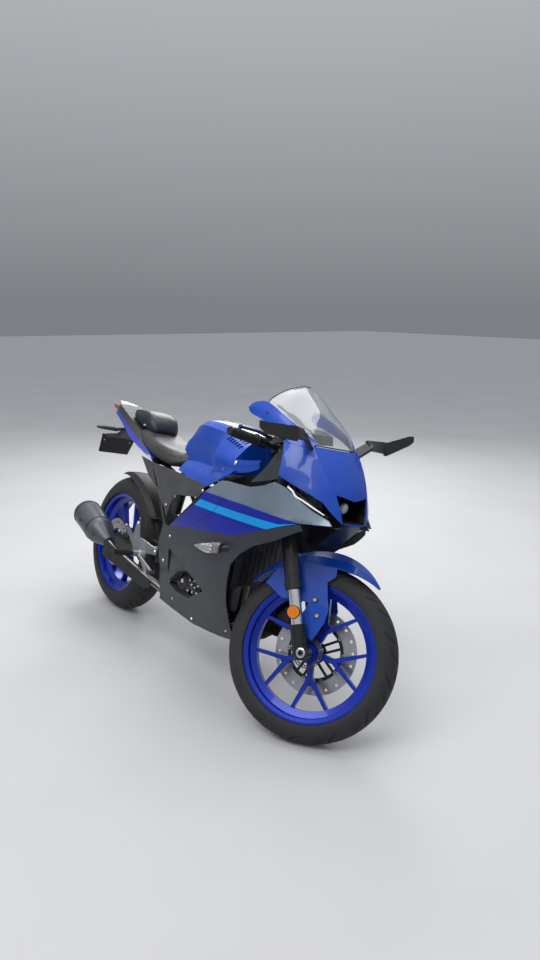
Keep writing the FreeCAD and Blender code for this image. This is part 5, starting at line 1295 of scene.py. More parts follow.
add_turned(valve, [(0, 0), (5, 0), (5, 9), (4, 10), (0, 10)], (0, 6, 158), (0, 0.1, -1), 14)
for name, shape, slot, finish in (("front_disc_carrier", carrier, "black_metal", coated_black),
                                  ("front_disc_buttons", buttons, "disc_steel", disc_steel),
                                  ("wheel_speed_ring", speed_ring, "disc_steel", dark_alloy),
                                  ("front_valve", valve, "black_plastic", matte_black)):
    make_piece(name, shape, slot, finish, place=FRONT_WHEEL, body="front_wheel")

# %% [markdown]
# ### The rear disc's carrier
# The rear disc is smaller. Its black star has five plain arms, and the sprocket on the other side
# is held by six bolts.

# %% Rear disc carrier and sprocket bolts
REAR_DISC_ACROSS = -76.0
SPROCKET_BOLTS_ACROSS = 86.0
rear_carrier = bmesh.new()
add_ring(rear_carrier, 54, 64, REAR_DISC_ACROSS - 3, REAR_DISC_ACROSS + 3)
add_ring(rear_carrier, 12, 30, REAR_DISC_ACROSS - 8, REAR_DISC_ACROSS + 14, 40)
rear_bolts = bmesh.new()
for turn in circle(5):
    add_bar(rear_carrier, at_turn(28, turn, REAR_DISC_ACROSS), at_turn(56, turn, REAR_DISC_ACROSS), 15, 5)
    add_bolt(rear_bolts, at_turn(59, turn, REAR_DISC_ACROSS - 3), -LEFT, 5, 5)
for turn in circle(6):
    add_bolt(rear_bolts, at_turn(38, turn + 0.3, SPROCKET_BOLTS_ACROSS), LEFT, 6, 6)
make_piece("rear_disc_carrier", rear_carrier, "black_metal", coated_black, place=REAR_WHEEL,
           body="rear_wheel")
make_piece("rear_wheel_bolts", rear_bolts, "chromed", chrome, place=REAR_WHEEL, body="rear_wheel")

# %% [markdown]
# ## Lamps
# One round lens sits deep in the black duct, in a square bezel. It is built from the parts of a real
# lamp: a black barrel, a bright bowl behind, and a clear dome. The light then bends as it should.

# %% Head lamp in its bezel
LAMP_START = (806, 0, 801)
BEZEL_OUTER = [(-36, 768), (36, 768), (41, 832), (-41, 832)]
BEZEL_INNER = [(-29, 774), (29, 774), (33, 826), (-33, 826)]
barrel_shape = bmesh.new()
add_turned(barrel_shape, [(0, 0), (19, 0), (19, 38), (21.5, 40), (21.5, 46), (19.2, 47.5), (18.6, 44),
                          (0, 42)], LAMP_START, AHEAD, 40)
barrel = make_piece("lamp_barrel", barrel_shape, "black_gloss", lamp_black)
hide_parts("head_lamp")
bowl_shape = bmesh.new()
add_turned(bowl_shape, [(18.2, 46.5), (15, 44.6), (8, 43.2), (0, 42.8)], LAMP_START, AHEAD, 36)
add_turned(bowl_shape, [(0, 48.5), (4.5, 47.5), (4.5, 43)], LAMP_START, AHEAD, 20)
make_piece("lamp_bowl", bowl_shape, "chromed", chrome)
dome_shape = bmesh.new()
add_turned(dome_shape, [(18.4, 47), (17.4, 51), (14, 54.8), (8, 57), (0, 57.8), (0, 56.4), (8, 55.6),
                        (13, 53.4), (15.8, 50.4), (16.6, 47), (18.4, 47)], LAMP_START, AHEAD, 40)
make_piece("lamp_dome", dome_shape, "lamp_glass", lamp_clear)
bezel_shape = bmesh.new()
bezel_rings = [at_x(x, corners) for corners, x in
               ((BEZEL_OUTER, 820), (BEZEL_OUTER, 832), (BEZEL_INNER, 835), (BEZEL_INNER, 820))]
add_grid(bezel_shape, bezel_rings + bezel_rings[:1], loop=True)
make_piece("lamp_bezel", bezel_shape, "black_plastic", lamp_black)

# %% [markdown]
# ### Position lamps
# A slim light strip glows between the nose and the silver panel. It is a pale light guide in a black
# channel, so a white bar is laid along the outer face of the dark housing.

# %% Light guides along the position lamps
GUIDE_LINE = [(872, 98, 777), (842, 121, 791), (806, 144, 807), (786, 156, 814), (772, 162, 828),
              (752, 168, 838)]
guide_shape = bmesh.new()
add_tube(guide_shape, GUIDE_LINE, 3.4, 10, 5)
make_piece("light_guides", guide_shape, "lamp_glass", guide_white, both=True)

# %% [markdown]
# ### Indicators
# The front indicators are clear teardrops with an orange bulb, on a short rubber stalk. The rear
# ones are slim blades under the tail. Rings of points that grow and shrink along a line make both.

# %% Indicator lenses, bulbs and stalks
# x, across, height, half width and half height of the teardrop
TEARDROP = [(542, 233, 572, 7, 16), (534, 236, 570, 10, 19), (508, 240, 563, 12, 20), (470, 239, 553, 11, 17),
            (430, 237, 546, 8, 11), (400, 234, 541, 4, 5), (391, 234, 540, 2, 2.5)]
# x, across, height, half depth and half height of the rear blade
REAR_BLADE = [(-664, 92, 825, 11, 9), (-676, 124, 826, 14, 10), (-686, 158, 825, 13, 9),
              (-690, 182, 824, 8, 5)]
BULB = [(0, 0), (7, 0), (8, 8), (7.4, 16), (4.5, 21), (0, 23)]
BULB_AXIS = (-1, 0, -0.25)


def oval_ring(x, y, z, wide, tall):
    return at_x(x, [(y + wide * math.cos(turn), z + tall * math.sin(turn)) for turn in circle(24)])


lens_shape = bmesh.new()
add_solid(lens_shape, smooth_along([oval_ring(*row) for row in TEARDROP], 4))
bulb_shape = bmesh.new()
add_turned(bulb_shape, BULB, (498, 240, 560), BULB_AXIS, 20)
bowl_shape = bmesh.new()
add_turned(bowl_shape, [(4, 0), (12, 5), (15, 14), (15.6, 14), (12.6, 4), (4, -1.2)], (520, 239, 567),
           BULB_AXIS, 24)
base_shape = bmesh.new()
add_tube(base_shape, [(566, 198, 582), (552, 212, 577), (538, 224, 573)], 8.5, 14, 4)
collar = [oval_ring(x + 2, y - 4, z + 1, wide + 1, tall + 1.6) for x, y, z, wide, tall in TEARDROP[:2]]
add_solid(base_shape, smooth_along(collar, 3))
add_tube(base_shape, [(-642, 42, 838), (-652, 66, 832), (-664, 96, 826)], 8, 14, 4)
blade = [[Vector((x + deep * math.cos(turn), y, z + tall * math.sin(turn))) for turn in circle(16)]
         for x, y, z, deep, tall in REAR_BLADE]
add_solid(base_shape, smooth_along(blade, 4))
rear_lens = bmesh.new()
add_tube(rear_lens, [(-683, 108, 826), (-693, 140, 826), (-697, 170, 825)], 4.5, 12, 4)
bases = make_piece("indicator_bases", base_shape, "black_plastic", matte_black, both=True)
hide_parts("indicators")
make_piece("indicator_lenses", lens_shape, "lamp_glass", lamp_clear, both=True)
make_piece("indicator_bulbs", bulb_shape, "amber", amber_lens, both=True)
make_piece("indicator_bowls", bowl_shape, "chromed", chrome, both=True)
make_piece("rear_indicator_lenses", rear_lens, "amber", amber_lens, both=True)
print("indicators: four, front reach", TEARDROP[2][1], "mm")

# %% [markdown]
# ## Fork, fender and bar details
# The fork's seals, caps, pinch bolts and reflector rims are turned forms and bolts in the fork's own
# frame. They ride on the steering, so they turn with the bars. Fasteners are never left off: they
# show how the real thing comes apart.

# %% Fork seals, caps and pinch bolts
LEG_AHEAD = 34.0
LEG_ACROSS = 98.0
AXLE_AHEAD = 44.33
AXLE_NUT_ACROSS = 123.5
DUST_SEAL = [(20.8, 206), (26, 207), (29.5, 211), (29.5, 214), (20.8, 214)]
TUBE_BAND = [(27.1, 250), (28, 251), (28, 254), (27.1, 255)]
FORK_CAP = [(27, 737), (24, 741), (15, 742), (15, 745), (0, 745)]
CAP_NUT = [(0, 0), (9, 0), (9, 5), (6, 5.6), (6, 3), (0, 3)]
AXLE_NUT = [(9, 0), (15.5, 0), (15.5, 3.5), (13, 4.5), (9, 4.5)]
fork_rings = bmesh.new()
fork_bolts = bmesh.new()
for side in (1, -1):
    leg = side * LEG_ACROSS
    for profile, sides in ((DUST_SEAL, 40), (TUBE_BAND, 40), (FORK_CAP, 36)):
        add_turned(fork_rings, profile, (LEG_AHEAD, leg, 0), UP, sides)
    for height in (536, 556):
        add_bolt(fork_bolts, (LEG_AHEAD - 14, side * (LEG_ACROSS - 34), height), -AHEAD, 5, 5)
    add_turned(fork_bolts, CAP_NUT, (LEG_AHEAD, leg, 744), UP, 6)
    for height in (6, 26):
        add_bolt(fork_bolts, (LEG_AHEAD - 24, side * (LEG_ACROSS - 2), height), -AHEAD, 4.5, 5)
    add_turned(fork_bolts, AXLE_NUT, (AXLE_AHEAD, side * AXLE_NUT_ACROSS, 0), (0, side, 0), 28)
make_piece("fork_seals", fork_rings, "black_plastic", matte_black, place=FORK, body="steering")
make_piece("fork_bolts", fork_bolts, "chromed", chrome, place=FORK, body="steering")

# %% [markdown]
# ### Reflector rims
# A round reflector sits in a black rim on each fork leg. Two fine rings are moulded into its lens.
# The steering stem's nut is made here too, because it shares the rims' black finish.

# %% Reflector rims and stem nut
REFLECTOR_HEIGHT = 132.0
REFLECTOR_RIM = [(20, 0), (22, 0), (22.4, 3), (22, 7.4), (20.2, 7.6), (19.6, 6.6), (20, 0)]
STEM_NUT = [(0, 8), (12, 8), (15, 6), (15, -2), (21, -2), (21, -8), (0, -8)]
reflector_rims = bmesh.new()
for side in (1, -1):
    add_turned(reflector_rims, REFLECTOR_RIM, (LEG_AHEAD, side * 123.2, REFLECTOR_HEIGHT), (0, side, 0), 40)
    for radius in (6, 12):
        add_turned(reflector_rims, [(radius, 0), (radius + 0.8, 0.4), (radius, 0.8)],
                   (LEG_AHEAD, side * 130.6, REFLECTOR_HEIGHT), (0, side, 0), 36, 1)
add_turned(reflector_rims, STEM_NUT, (0, 0, 738), UP, 6)
make_piece("reflector_rims", reflector_rims, "black_plastic", lamp_black, amber_lens, place=FORK,
           body="steering")

# %% [markdown]
# ### Grips
# Rubber grips have rows of fine ribs that stop a hand from slipping. The ribs are turned rings, laid
# close together in two bands. A metal weight closes each bar's end.

# %% Grip ribs and bar ends
GRIP_START = Vector((-7, 230, 703))
GRIP_END = Vector((-50, 338, 711))
RIB_PITCH = 3.2
RIB = [(15.6, 0), (17.0, 0.5), (17.0, 1.7), (15.6, 2.2)]
BAR_END = [(8, 0), (14.2, 0.5), (14.2, 9), (13, 12.4), (9, 13.6), (5, 13.6), (4.6, 8), (0, 8)]
grip_ribs = bmesh.new()
bar_ends = bmesh.new()
grip_along = (GRIP_END - GRIP_START).normalized()
grip_length = (GRIP_END - GRIP_START).length
for band_start, band_end in ((0.14, 0.44), (0.52, 0.9)):
    for number in range(int((band_end - band_start) * grip_length / RIB_PITCH)):
        middle = GRIP_START + grip_along * (band_start * grip_length + number * RIB_PITCH)
        add_turned(grip_ribs, RIB, middle, grip_along, 28)
add_turned(bar_ends, BAR_END, GRIP_END + grip_along * 0.4, grip_along, 28)
make_piece("grip_ribs", grip_ribs, "grip_rubber", grip_black, place=FORK, body="steering", both=True)
make_piece("bar_end_caps", bar_ends, "black_metal", coated_black, place=FORK, body="steering", both=True)

# %% [markdown]
# ### Front fender and brake bolts
# Two bright bolts hold each side of the fender to the fork, on black washers. The caliper has its
# two mounting bolts, a bleed nipple and the caps of its two pistons.

# %% Fender and caliper bolts
# x and height in the front wheel's frame
FENDER_BOLTS = [(-27, 173), (-3, 126)]
LEG_FACE = 72.2
CALIPER_X = -150.0
WASHER = [(0, 0), (9.5, 0), (9.5, 1.6), (8.6, 2.2), (0, 2.2)]
NIPPLE = [(0, 0), (3.5, 0), (3.5, 6), (2.4, 8), (2.4, 12), (0, 12)]
PISTON_CAP = [(0, 0), (14, 0), (14, 1.2), (11, 2), (10, 1.2), (0, 1.2)]
fender_bolts = bmesh.new()
fender_washers = bmesh.new()
piston_caps = bmesh.new()
for side in (1, -1):
    for x, z in FENDER_BOLTS:
        add_turned(fender_washers, WASHER, (x, side * LEG_FACE, z), (0, side, 0), 28)
        add_bolt(fender_bolts, (x, side * (LEG_FACE + 2), z), (0, side, 0), 4.8, 4.5)
for z in (50, 114):
    add_bolt(fender_bolts, (CALIPER_X, 91.5, z), LEFT, 6.5, 6)
add_turned(fender_bolts, NIPPLE, (-172, 84, 126), (-0.4, 0, 1), 12)
for z in (62, 98):
    add_turned(piston_caps, PISTON_CAP, (CALIPER_X, 91.8, z), LEFT, 30)
for name, shape, slot, finish in (("fender_washers", fender_washers, "black_plastic", matte_black),
                                  ("fender_bolts", fender_bolts, "chromed", chrome),
                                  ("caliper_piston_caps", piston_caps, "black_metal", coated_black)):
    make_piece(name, shape, slot, finish, place=FRONT_WHEEL, body="steering")
print("fender bolts", len(FENDER_BOLTS) * 2)

# %% [markdown]
# ## Engine and radiator
# The engine shows through the fairing's window: the clutch cover and the water pump, each ringed
# with small screws. Covers are turned castings with a raised middle.

# %% Covers and their screws
# Side, x, across, height, radius and screw count
COVERS = [(-1, 215, 139.6, 352, 62, 8), (-1, 306, 139.6, 352, 32, 5), (1, 255, 137.6, 348, 62, 8)]
SCREW_BOSS = [(0, -4), (6.5, -4), (6.5, 1.6), (0, 1.6)]
cover_shape = bmesh.new()
cover_screws = bmesh.new()
for side, x, y, z, radius, count in COVERS:
    middle = Vector((x, side * y, z))
    add_turned(cover_shape, [(radius - 1, -6), (radius - 1, 0), (radius - 8, 1.2), (radius * 0.62, 1.4),
                             (radius * 0.58, 4), (radius * 0.34, 5), (radius * 0.3, 2.5), (0, 2.5)], middle,
               (0, side, 0), 40)
    for turn in circle(count, 0.4):
        place = middle + at_turn(radius - 7, turn, 0)
        add_turned(cover_shape, SCREW_BOSS, place, (0, side, 0), 16)
        add_bolt(cover_screws, place + LEFT * side * 1.6, (0, side, 0), 3.6, 4)
    add_bolt(cover_screws, middle + LEFT * side * 2.4, (0, side, 0), radius * 0.11, 4)
make_piece("engine_covers", cover_shape, "dark_alloy", coated_black)
make_piece("cover_screws", cover_screws, "chromed", chrome)

# %% [markdown]
# ### Radiator
# A radiator is a block of thin fins with flat water tubes across them. The fins are many thin
# strips, because a texture would look flat from close by.

# %% Radiator fins and tubes
FIN_FACE = 516.0
FINS = 50
FIN_PITCH = 4.1
TUBES = 11
TUBE_PITCH = 23.0
fin_shape = bmesh.new()


def add_block(shape, low, high):
    """A box between two corners."""
    corners = [(low[1], low[2]), (high[1], low[2]), (high[1], high[2]), (low[1], high[2])]
    add_solid(shape, [at_x(x, corners) for x in (low[0], high[0])])


for number in range(FINS):
    height = 430 + number * FIN_PITCH
    add_block(fin_shape, (FIN_FACE - 1, -122, height), (FIN_FACE + 1.6, 122, height + 1.1))
for number in range(TUBES):
    across = -115 + number * TUBE_PITCH
    add_block(fin_shape, (FIN_FACE - 1, across - 1.6, 428), (FIN_FACE + 2.4, across + 1.6, 638))
make_piece("radiator_fins", fin_shape, "dark_alloy", dark_alloy)

# %% [markdown]
# ## Chain
# A chain is plates and pins repeated every half inch. Its path is two straight runs and two arcs
# round the sprockets, and each link is set along it.

# %% The chain's path
FRONT_SPROCKET = Vector((62, 0, 402))
FRONT_PITCH_RADIUS = 31.1
REAR_PITCH_RADIUS = 94.6
LINK_COUNT = 120
between = REAR_AXLE - FRONT_SPROCKET
run_angle = math.atan2(between.z, between.x)
lean = math.acos((FRONT_PITCH_RADIUS - REAR_PITCH_RADIUS) / between.length)


def arc(centre, radius, start, sweep, steps):
    """Points round a sprocket from a starting angle."""
    return [centre + at_turn(radius, start + sweep * step / steps, 0) for step in range(steps + 1)]


def evenly_spaced(path, count):
    """Points at equal distances along a closed path, and the path's length."""
    lengths = [0.0]
    for start, end in zip(path, path[1:]):
        lengths.append(lengths[-1] + (end - start).length)
    points = []
    at = 0
    for number in range(count):
        goal = lengths[-1] * number / count
        while lengths[at + 1] < goal:
            at += 1
        share = (goal - lengths[at]) / (lengths[at + 1] - lengths[at])
        points.append(path[at].lerp(path[at + 1], share))
    return points, lengths[-1]


chain_path = arc(FRONT_SPROCKET, FRONT_PITCH_RADIUS, run_angle + lean, 2 * math.pi - 2 * lean, 60)
chain_path += arc(REAR_AXLE, REAR_PITCH_RADIUS, run_angle - lean, 2 * lean, 120)
link_points, chain_length = evenly_spaced(chain_path + chain_path[:1], LINK_COUNT)
print("chain", round(chain_length), "mm, pitch", round(chain_length / LINK_COUNT, 2), "mm")

# %% [markdown]
# ### Links
# Each link has two plates with round ends, which overlap the next link at a pin. The plates of
# every second link lie further out, so neighbours don't cut into each other.

# %% Plates and pins
CHAIN_ACROSS = 82.0
PLATE_HALF = 5.6
PLATE_THICK = 1.1
PIN = [(0, -9.2), (2.2, -9.0), (2.2, 9.0), (0, 9.2)]
INNER_OFFSET = 6.3
OUTER_OFFSET = 7.4
link_shape = bmesh.new()
for number, point in enumerate(link_points):
    ahead = link_points[(number + 1) % LINK_COUNT] - point
    along = ahead.normalized()
    lift = along.cross(LEFT)
    offset = OUTER_OFFSET if number % 2 else INNER_OFFSET
    plate = []
    for turn in circle(14):
        pin_place = point + ahead if math.cos(turn) > 0 else point
        plate.append(pin_place + (along * math.cos(turn) + lift * math.sin(turn)) * PLATE_HALF)
    for side in (1, -1):
        add_solid(link_shape, [[corner + LEFT * (CHAIN_ACROSS + side * across) for corner in plate]
                               for across in (offset, offset + PLATE_THICK)])
    add_turned(link_shape, PIN, point + LEFT * CHAIN_ACROSS, LEFT, 10)
make_piece("chain_links", link_shape, "chain_steel", chain_steel)

# %% [markdown]
# ## Rear shock
# A coil spring round a damper is what the eye looks for here. The CAD shock stays in place, and the
# spring's coils, the spring seats and the eyes at both ends are laid over it. A coil is a tube
# along a helix.

# %% Shock with its coil spring and reservoir
SHOCK_LOW = Vector((-58, 0, 432))
SHOCK_HIGH = Vector((56, 0, 688.5))
COIL_STEPS = 120
STEPS_IN_TURN = 16
COIL_RADIUS = 25.0
SHOCK_EYE = [(0, -15), (13, -15), (13, 15), (0, 15)]
RESERVOIR = [(0, -4), (18, -4), (22, 0), (22, 80), (19, 88), (12, 92), (0, 92)]
shock_axis = (SHOCK_HIGH - SHOCK_LOW).normalized()
shock_length = (SHOCK_HIGH - SHOCK_LOW).length
# The upper half of the damper, measured back from its upper end
upper_damper = [(19, 46), (29, 44), (29, 36), (19, 34), (19, 10), (0, 8)]
damper_shape = bmesh.new()
lower_damper = [(0, 8), (13, 8), (13, 20), (29, 24), (29, 31), (15, 34), (9, 36), (9, 120), (19, 124)]
damper_profile = lower_damper + [(radius, shock_length - back) for radius, back in upper_damper]
add_turned(damper_shape, damper_profile, SHOCK_LOW, shock_axis, 32)
for point in (SHOCK_LOW, SHOCK_HIGH):
    add_turned(damper_shape, SHOCK_EYE, point, LEFT, 24)
make_piece("shock_damper", damper_shape, "black_metal", coated_black)
coil_frame = shock_axis.to_track_quat("Z", "Y").to_matrix()
coil_points = []
for step in range(COIL_STEPS + 1):
    turn = 2 * math.pi * step / STEPS_IN_TURN
    height = 32 + (shock_length - 78) * step / COIL_STEPS
    place = Vector((COIL_RADIUS * math.cos(turn), COIL_RADIUS * math.sin(turn), height))
    coil_points.append(SHOCK_LOW + coil_frame @ place)
coil_shape = bmesh.new()
add_tube(coil_shape, coil_points, 4.6, 10, 2)
make_piece("shock_spring", coil_shape, "silver_gloss", pale_silver)
reservoir_shape = bmesh.new()
add_turned(reservoir_shape, RESERVOIR, (-78, -46, 560), (18, 0, 90), 32)
make_piece("fluid_reservoir", reservoir_shape, "cast_alloy", cast_alloy)

# %% [markdown]
# ## Tail
# The tail cowl is a closed shell that narrows to a raised tip. The tip is white, the shell is black,
# and a deep blue line runs along its lower edge. The colours follow the shell's own rows and columns
# of faces, as masking tape would, so no second shell is needed.

# %% Tail shell with its colours
# x, half width at the top edge, top edge, half width low, low edge, bottom
TAIL_STATIONS = [(-829, 18, 961, 16, 950, 946), (-780, 36, 954, 44, 928, 920), (-722, 62, 944, 82, 902, 888),
                 (-640, 76, 922, 98, 882, 858), (-520, 84, 884, 122, 845, 820),
                 (-400, 92, 850, 142, 812, 790), (-290, 98, 812, 150, 788, 766),
                 (-177, 104, 774, 156, 764, 742)]
TIP_END = -738.0
BLUE_LINE_COLUMNS = range(8, 11)
tail_rows = [at_x(x, [(0, top), (top_half, top), (low_half, low), (low_half * 0.8, bottom), (0, bottom)])
             for x, top_half, top, low_half, low, bottom in TAIL_STATIONS]
tail_shape = bmesh.new()
tail_rings = []
for row in smooth_grid(tail_rows, 5, 5, (1, 2, 3)):
    mirrored = [Vector((point.x, -point.y, point.z)) for point in row[-2:0:-1]]
    tail_rings.append([tail_shape.verts.new(point) for point in row + mirrored])
count = len(tail_rings[0])
for low_ring, high_ring in zip(tail_rings, tail_rings[1:]):
    for i in range(count):
        j = (i + 1) % count
        face = tail_shape.faces.new((low_ring[i], low_ring[j], high_ring[j], high_ring[i]))
        if high_ring[0].co.x < TIP_END:
            face.material_index = 1
        elif min(i, count - 1 - i) in BLUE_LINE_COLUMNS:
            face.material_index = 2
tail_shape.faces.new(tail_rings[0]).material_index = 1
tail_shape.faces.new(tail_rings[-1])
tail = make_piece("tail_shell", tail_shape, "silver_gloss", matte_black, pale_silver, deep_blue)
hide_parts("tail_cowl")

# %% [markdown]
# ### Mirrors and the exhaust guard
# These stay as the CAD made them. Some of their faces have another finish: the mirrors' rear faces
# are glass, and the guard outside the exhaust pipe is black. The faces are picked by where they lie
# and which way they point, in the bike's own frame.

# %% Pick faces by place and direction
BIKE_BACK = BIKE.inverted()
MIRROR_ACROSS = 212.0
GUARD_ACROSS = 157.5
GUARD_FRONT_X = 16.0
GUARD_SLOPE = 0.206


def paint_faces(node_name, first, second, chosen):
    """Two finishes on one node; chosen(middle, normal) in the bike's frame picks the second."""
    paint(node_name, first, second)
    node = frame["nodes"][node_name]
    to_bike = BIKE_BACK @ node.matrix_world
    turn = to_bike.to_3x3().normalized()
    picked = [face for face in node.data.polygons if chosen(to_bike @ face.center, turn @ face.normal)]
    for face in picked:
        face.material_index = 1
    print(node_name, "has", len(picked), "faces in its second finish")


paint_faces("mirrors", matte_black, mirror_glass,
            lambda middle, normal: normal.x < -0.9 and abs(middle.y) > MIRROR_ACROSS)
paint_faces("exhaust_pipe", pipe_steel, matte_black,
            lambda middle, normal: middle.y < -GUARD_ACROSS - (GUARD_FRONT_X - middle.x) * GUARD_SLOPE)

# %% [markdown]
# ### Details of the side covers
# A slanted slot with a rounded lip is pressed into each side cover. Its dark inside is painted shade: a thin
# black slab laid through the cover's face. The cover's face is worked out between its stations, so the slot,
# the lip and the screws lie on it.

# %% Side cover slot and screws
# x, then how far across the cover lies at its foot and at its head
COVER_STATIONS = [(-270, 156, 152), (-60, 168, 160), (120, 170, 158), (280, 166, 154)]
COVER_FOOT = 660.0
COVER_HEIGHT = 110.0
SLOT_EDGE = [(-142, 731), (-112, 731), (-46, 667), (-68, 666)]


def cover_across(x, z):
    """How far out the side cover's face lies at a side-view place."""
    for (start, low, high), (end, next_low, next_high) in zip(COVER_STATIONS, COVER_STATIONS[1:]):
        if start <= x <= end:
            share = (x - start) / (end - start)
            foot = low + (next_low - low) * share
            head = high + (next_high - high) * share
            return foot + (head - foot) * (z - COVER_FOOT) / COVER_HEIGHT


# Painted shade: a thin black slab through the cover's face stands for the shaded inside of the slot
slot_shade_slab = bmesh.new()
add_solid(slot_shade_slab, [[Vector((x, cover_across(x, z) + lift, z)) for x, z in SLOT_EDGE] for lift in (-1.0, 0.9)])
lips = bmesh.new()
add_tube(lips, [Vector((x + 2, cover_across(x, z) + 0.8, z + 1)) for x, z in SLOT_EDGE[1:3]], 2.6, 10, 4)
cover_bolts = bmesh.new()
for x, z, radius in ((262, 718, 6.0), (42, 612, 4.5)):
    add_bolt(cover_bolts, (x, cover_across(x, z) - 0.6, z), (0, 1, 0.08), radius, 4.5)
make_piece("side_cover_slot_shade", slot_shade_slab, "black_plastic", lamp_black, both=True)
make_piece("side_cover_lips", lips, "grey_plastic", cover_grey, both=True)
make_piece("side_cover_bolts", cover_bolts, "chromed", chrome, both=True)

# %% [markdown]
# ## Silencer
# The silencer has two seam bands, a dark outlet pipe and two fixing screws. All are turned about
# the silencer's own axis.

# %% Silencer bands, outlet and screws
SILENCER_FRONT = Vector((-338, -198, 350))
SILENCER_REAR = Vector((-600, -214, 436))
SEAM_BAND = [(63.6, 0), (65.2, 0.4), (65.2, 4.6), (63.6, 5)]
OUTLET = [(22, 251), (22, 268), (26, 268), (26, 251)]
OUTLET_LIP = [(31, 257), (34, 265), (39, 268.4), (36, 268.6), (31, 262)]
silencer_line = (SILENCER_REAR - SILENCER_FRONT).normalized()
silencer_out = -LEFT - silencer_line * -LEFT.dot(silencer_line)
silencer_out.normalize()
bands = bmesh.new()
for along in (110.0, 240.0):
    add_turned(bands, SEAM_BAND, SILENCER_FRONT + silencer_line * along, silencer_line, 64)
add_turned(bands, OUTLET, SILENCER_FRONT, silencer_line, 40)
add_turned(bands, OUTLET_LIP, SILENCER_FRONT, silencer_line, 48)
make_piece("silencer_bands", bands, "silencer_grey", coated_black)
silencer_screws = bmesh.new()
for along, radius in ((62.0, 47.0), (180.0, 64.0)):
    screw_place = SILENCER_FRONT + silencer_line * along + silencer_out * radius
    add_bolt(silencer_screws, screw_place, silencer_out, 5.5, 5)
make_piece("silencer_screws", silencer_screws, "black_metal", lamp_black)

# %% [markdown]
# ## Footrests and rear axle
# The footrest plates are bolted to the frame, and the pegs and pedal tips have rows of rubber
# rings. The rear axle is held by a nut on a washer at each end.

# %% Footrest bolts, peg rings, axle nuts and small rear fasteners
# x, height and radius of the screws in the footrest plates
PLATE_BOLTS = [(-162, 484, 6), (12, 408, 6), (-32, 307, 5.5), (-262, 450, 5)]
PLATE_ACROSS = 166.0
NUT_ACROSS = 133.6
PEG_BOSS = [(0, 0), (17, 0), (17, 2), (12, 4), (12, 6), (0, 6)]
PEG_RING = [(11.6, 0), (13.4, 0.8), (13.4, 2.6), (11.6, 3.4)]
PEDAL_RING = [(6.8, 0), (8.2, 0.6), (8.2, 2.6), (6.8, 3.2)]
REAR_NUT = [(0, 0), (15, 0), (15, 7), (13, 9), (8, 9), (8, 11), (0, 11)]
REAR_WASHER = [(0, -1.5), (19, -1.5), (19, 0.6), (0, 0.6)]
foot_bolts = bmesh.new()
foot_rubbers = bmesh.new()
rear_nuts = bmesh.new()
for side in (1, -1):
    out = (0, side, 0)
    for x, z, radius in PLATE_BOLTS:
        add_bolt(foot_bolts, (x, side * PLATE_ACROSS, z), out, radius, 5)
    add_turned(foot_bolts, PEG_BOSS, (-112, side * PLATE_ACROSS, 366), out, 28)
    for number in range(13):
        add_turned(foot_rubbers, PEG_RING, (-112, side * (212 + number * 5.4), 366.5 + number * 0.25),
                   (0, side, 0.046), 24)
    for number in range(7):
        add_turned(foot_rubbers, PEDAL_RING, (44, side * (176 + number * 5), 330), out, 18)
    for profile, sides in ((REAR_NUT, 6), (REAR_WASHER, 32)):
        add_turned(rear_nuts, profile, (REAR_AXLE.x, side * NUT_ACROSS, REAR_AXLE.z), out, sides)
for x, z in ((-403, 332), (-373, 366)):
    add_bolt(rear_nuts, (x, -95.4, z), -LEFT, 5, 5)
make_piece("footrest_bolts", foot_bolts, "chromed", chrome)
make_piece("footrest_rubbers", foot_rubbers, "grip_rubber", grip_black)
make_piece("rear_axle_nuts", rear_nuts, "chromed", disc_steel)

# %% [markdown]
# ## Filler cap and instrument
# The filler ring is held by six small screws, and the lid has a flap over its key slot. The
# instrument is a dark glass in a hood. Its display stays blank.

# %% Cap screws, key flap and display
FLAP_X = 140.0
DISPLAY = [(-54, 989), (54, 989), (54, 1026), (-54, 1026)]
cap_screws = bmesh.new()
for turn in circle(6, 0.5):
    add_bolt(cap_screws, (CAP_MIDDLE.x + 44.5 * math.cos(turn), 44.5 * math.sin(turn), 983.6), UP, 3.2, 3)
make_piece("cap_ring_screws", cap_screws, "chromed", chrome)
key_flap = bmesh.new()
add_solid(key_flap, [[Vector((FLAP_X + 8 * math.sin(turn) * scale, 15 * math.cos(turn) * scale, z))
                      for turn in circle(24)] for scale, z in ((1.0, 987.6), (1.0, 989.4), (0.9, 990.2))])
make_piece("key_flap", key_flap, "cast_alloy", dark_alloy, body="fuel_cap")
display = bmesh.new()
add_solid(display, [[Vector((638.4 - depth - 14 * (z - 989) / 40, y, z)) for y, z in DISPLAY]
                    for depth in (0.0, 2.0)])
make_piece("instrument_display", display, "black_gloss", display_glass)
print("tail rows", len(tail_rings))

# %% [markdown]
# ## The studio
# A pale floor shows the form without harsh shadows, and large soft lights give the gloss paint
# something to reflect. The floor is large, so its edge never shows.

# %% Floor
FLOOR_SIZE = 60.0
floor_finish, floor_tree, floor_shader, floor_where = start_finish("pale_floor")
mottle(floor_tree, floor_shader, floor_where, 1.5, (0.44, 0.44, 0.45), (0.47, 0.47, 0.48))
set_values(floor_shader, {"Roughness": 0.8})
floor_mesh = bpy.data.meshes.new("studio_floor")
corners = [(x * FLOOR_SIZE / 2, y * FLOOR_SIZE / 2, 0) for x, y in ((-1, -1), (1, -1), (1, 1), (-1, 1))]
floor_mesh.from_pydata(corners, [], [(0, 1, 2, 3)])
floor_mesh.materials.append(floor_finish)
floor = bpy.data.objects.new("studio_floor", floor_mesh)
bpy.context.scene.collection.objects.link(floor)
print("floor", FLOOR_SIZE, "m wide")

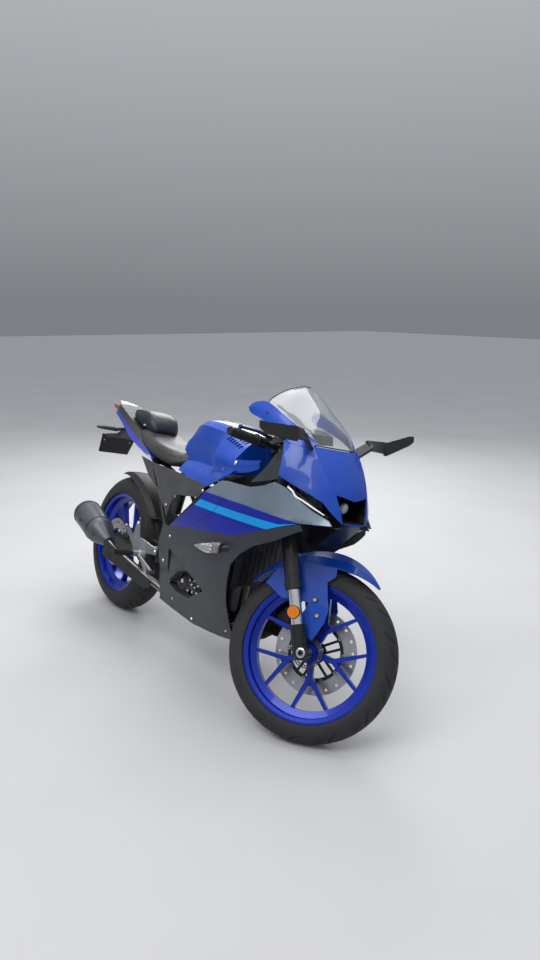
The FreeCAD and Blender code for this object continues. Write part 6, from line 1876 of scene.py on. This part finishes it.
# %% [markdown]
# ### Sky and softboxes
# The sky is a ramp from the horizon upwards. Three large soft lights stand where a photographer
# would put them: one in front, one above and one behind.

# %% Sky and softboxes
HORIZON = (0.27, 0.29, 0.31, 1.0)
ZENITH = (0.92, 0.96, 1.0, 1.0)
SKY_STRENGTH = 0.75
world = bpy.data.worlds.new("studio_sky")
world.use_nodes = True
bpy.context.scene.world = world
sky_nodes = world.node_tree.nodes
sky_links = world.node_tree.links
sky_direction = sky_nodes.new("ShaderNodeTexCoord")
sky_split = sky_nodes.new("ShaderNodeSeparateXYZ")
sky_ramp = sky_nodes.new("ShaderNodeValToRGB")
sky_links.new(sky_direction.outputs["Generated"], sky_split.inputs["Vector"])
sky_links.new(sky_split.outputs["Z"], sky_ramp.inputs["Fac"])
for element, position, tone in zip(sky_ramp.color_ramp.elements, (0.0, 0.75), (HORIZON, ZENITH)):
    element.position = position
    element.color = tone
sky_links.new(sky_ramp.outputs["Color"], sky_nodes["Background"].inputs["Color"])
sky_nodes["Background"].inputs["Strength"].default_value = SKY_STRENGTH
# A plain transform keeps the deep blues as saturated as they are in the photograph
bpy.context.scene.view_settings.view_transform = "Standard"

# Name, place, aim, width, height, power
SOFTBOXES = [
    ("key_softbox", (0.9, -2.8, 4.6), (0.1, 0.0, 0.5), 3.6, 2.4, 150.0),
    ("sky_softbox", (-0.6, 0.8, 4.4), (0.0, 0.0, 0.6), 4.0, 2.8, 130.0),
    ("rim_softbox", (-3.0, 2.6, 2.6), (0.0, 0.0, 0.6), 2.2, 1.6, 80.0),
]
for name, place, aim, width, height, power in SOFTBOXES:
    light = bpy.data.lights.new(name, "AREA")
    light.shape = "RECTANGLE"
    light.size = width
    light.size_y = height
    light.energy = power
    softbox = bpy.data.objects.new(name, light)
    turn = (Vector(aim) - Vector(place)).to_track_quat("-Z", "Y")
    softbox.matrix_world = Matrix.Translation(place) @ turn.to_matrix().to_4x4()
    bpy.context.scene.collection.objects.link(softbox)
print("softboxes", len(SOFTBOXES))
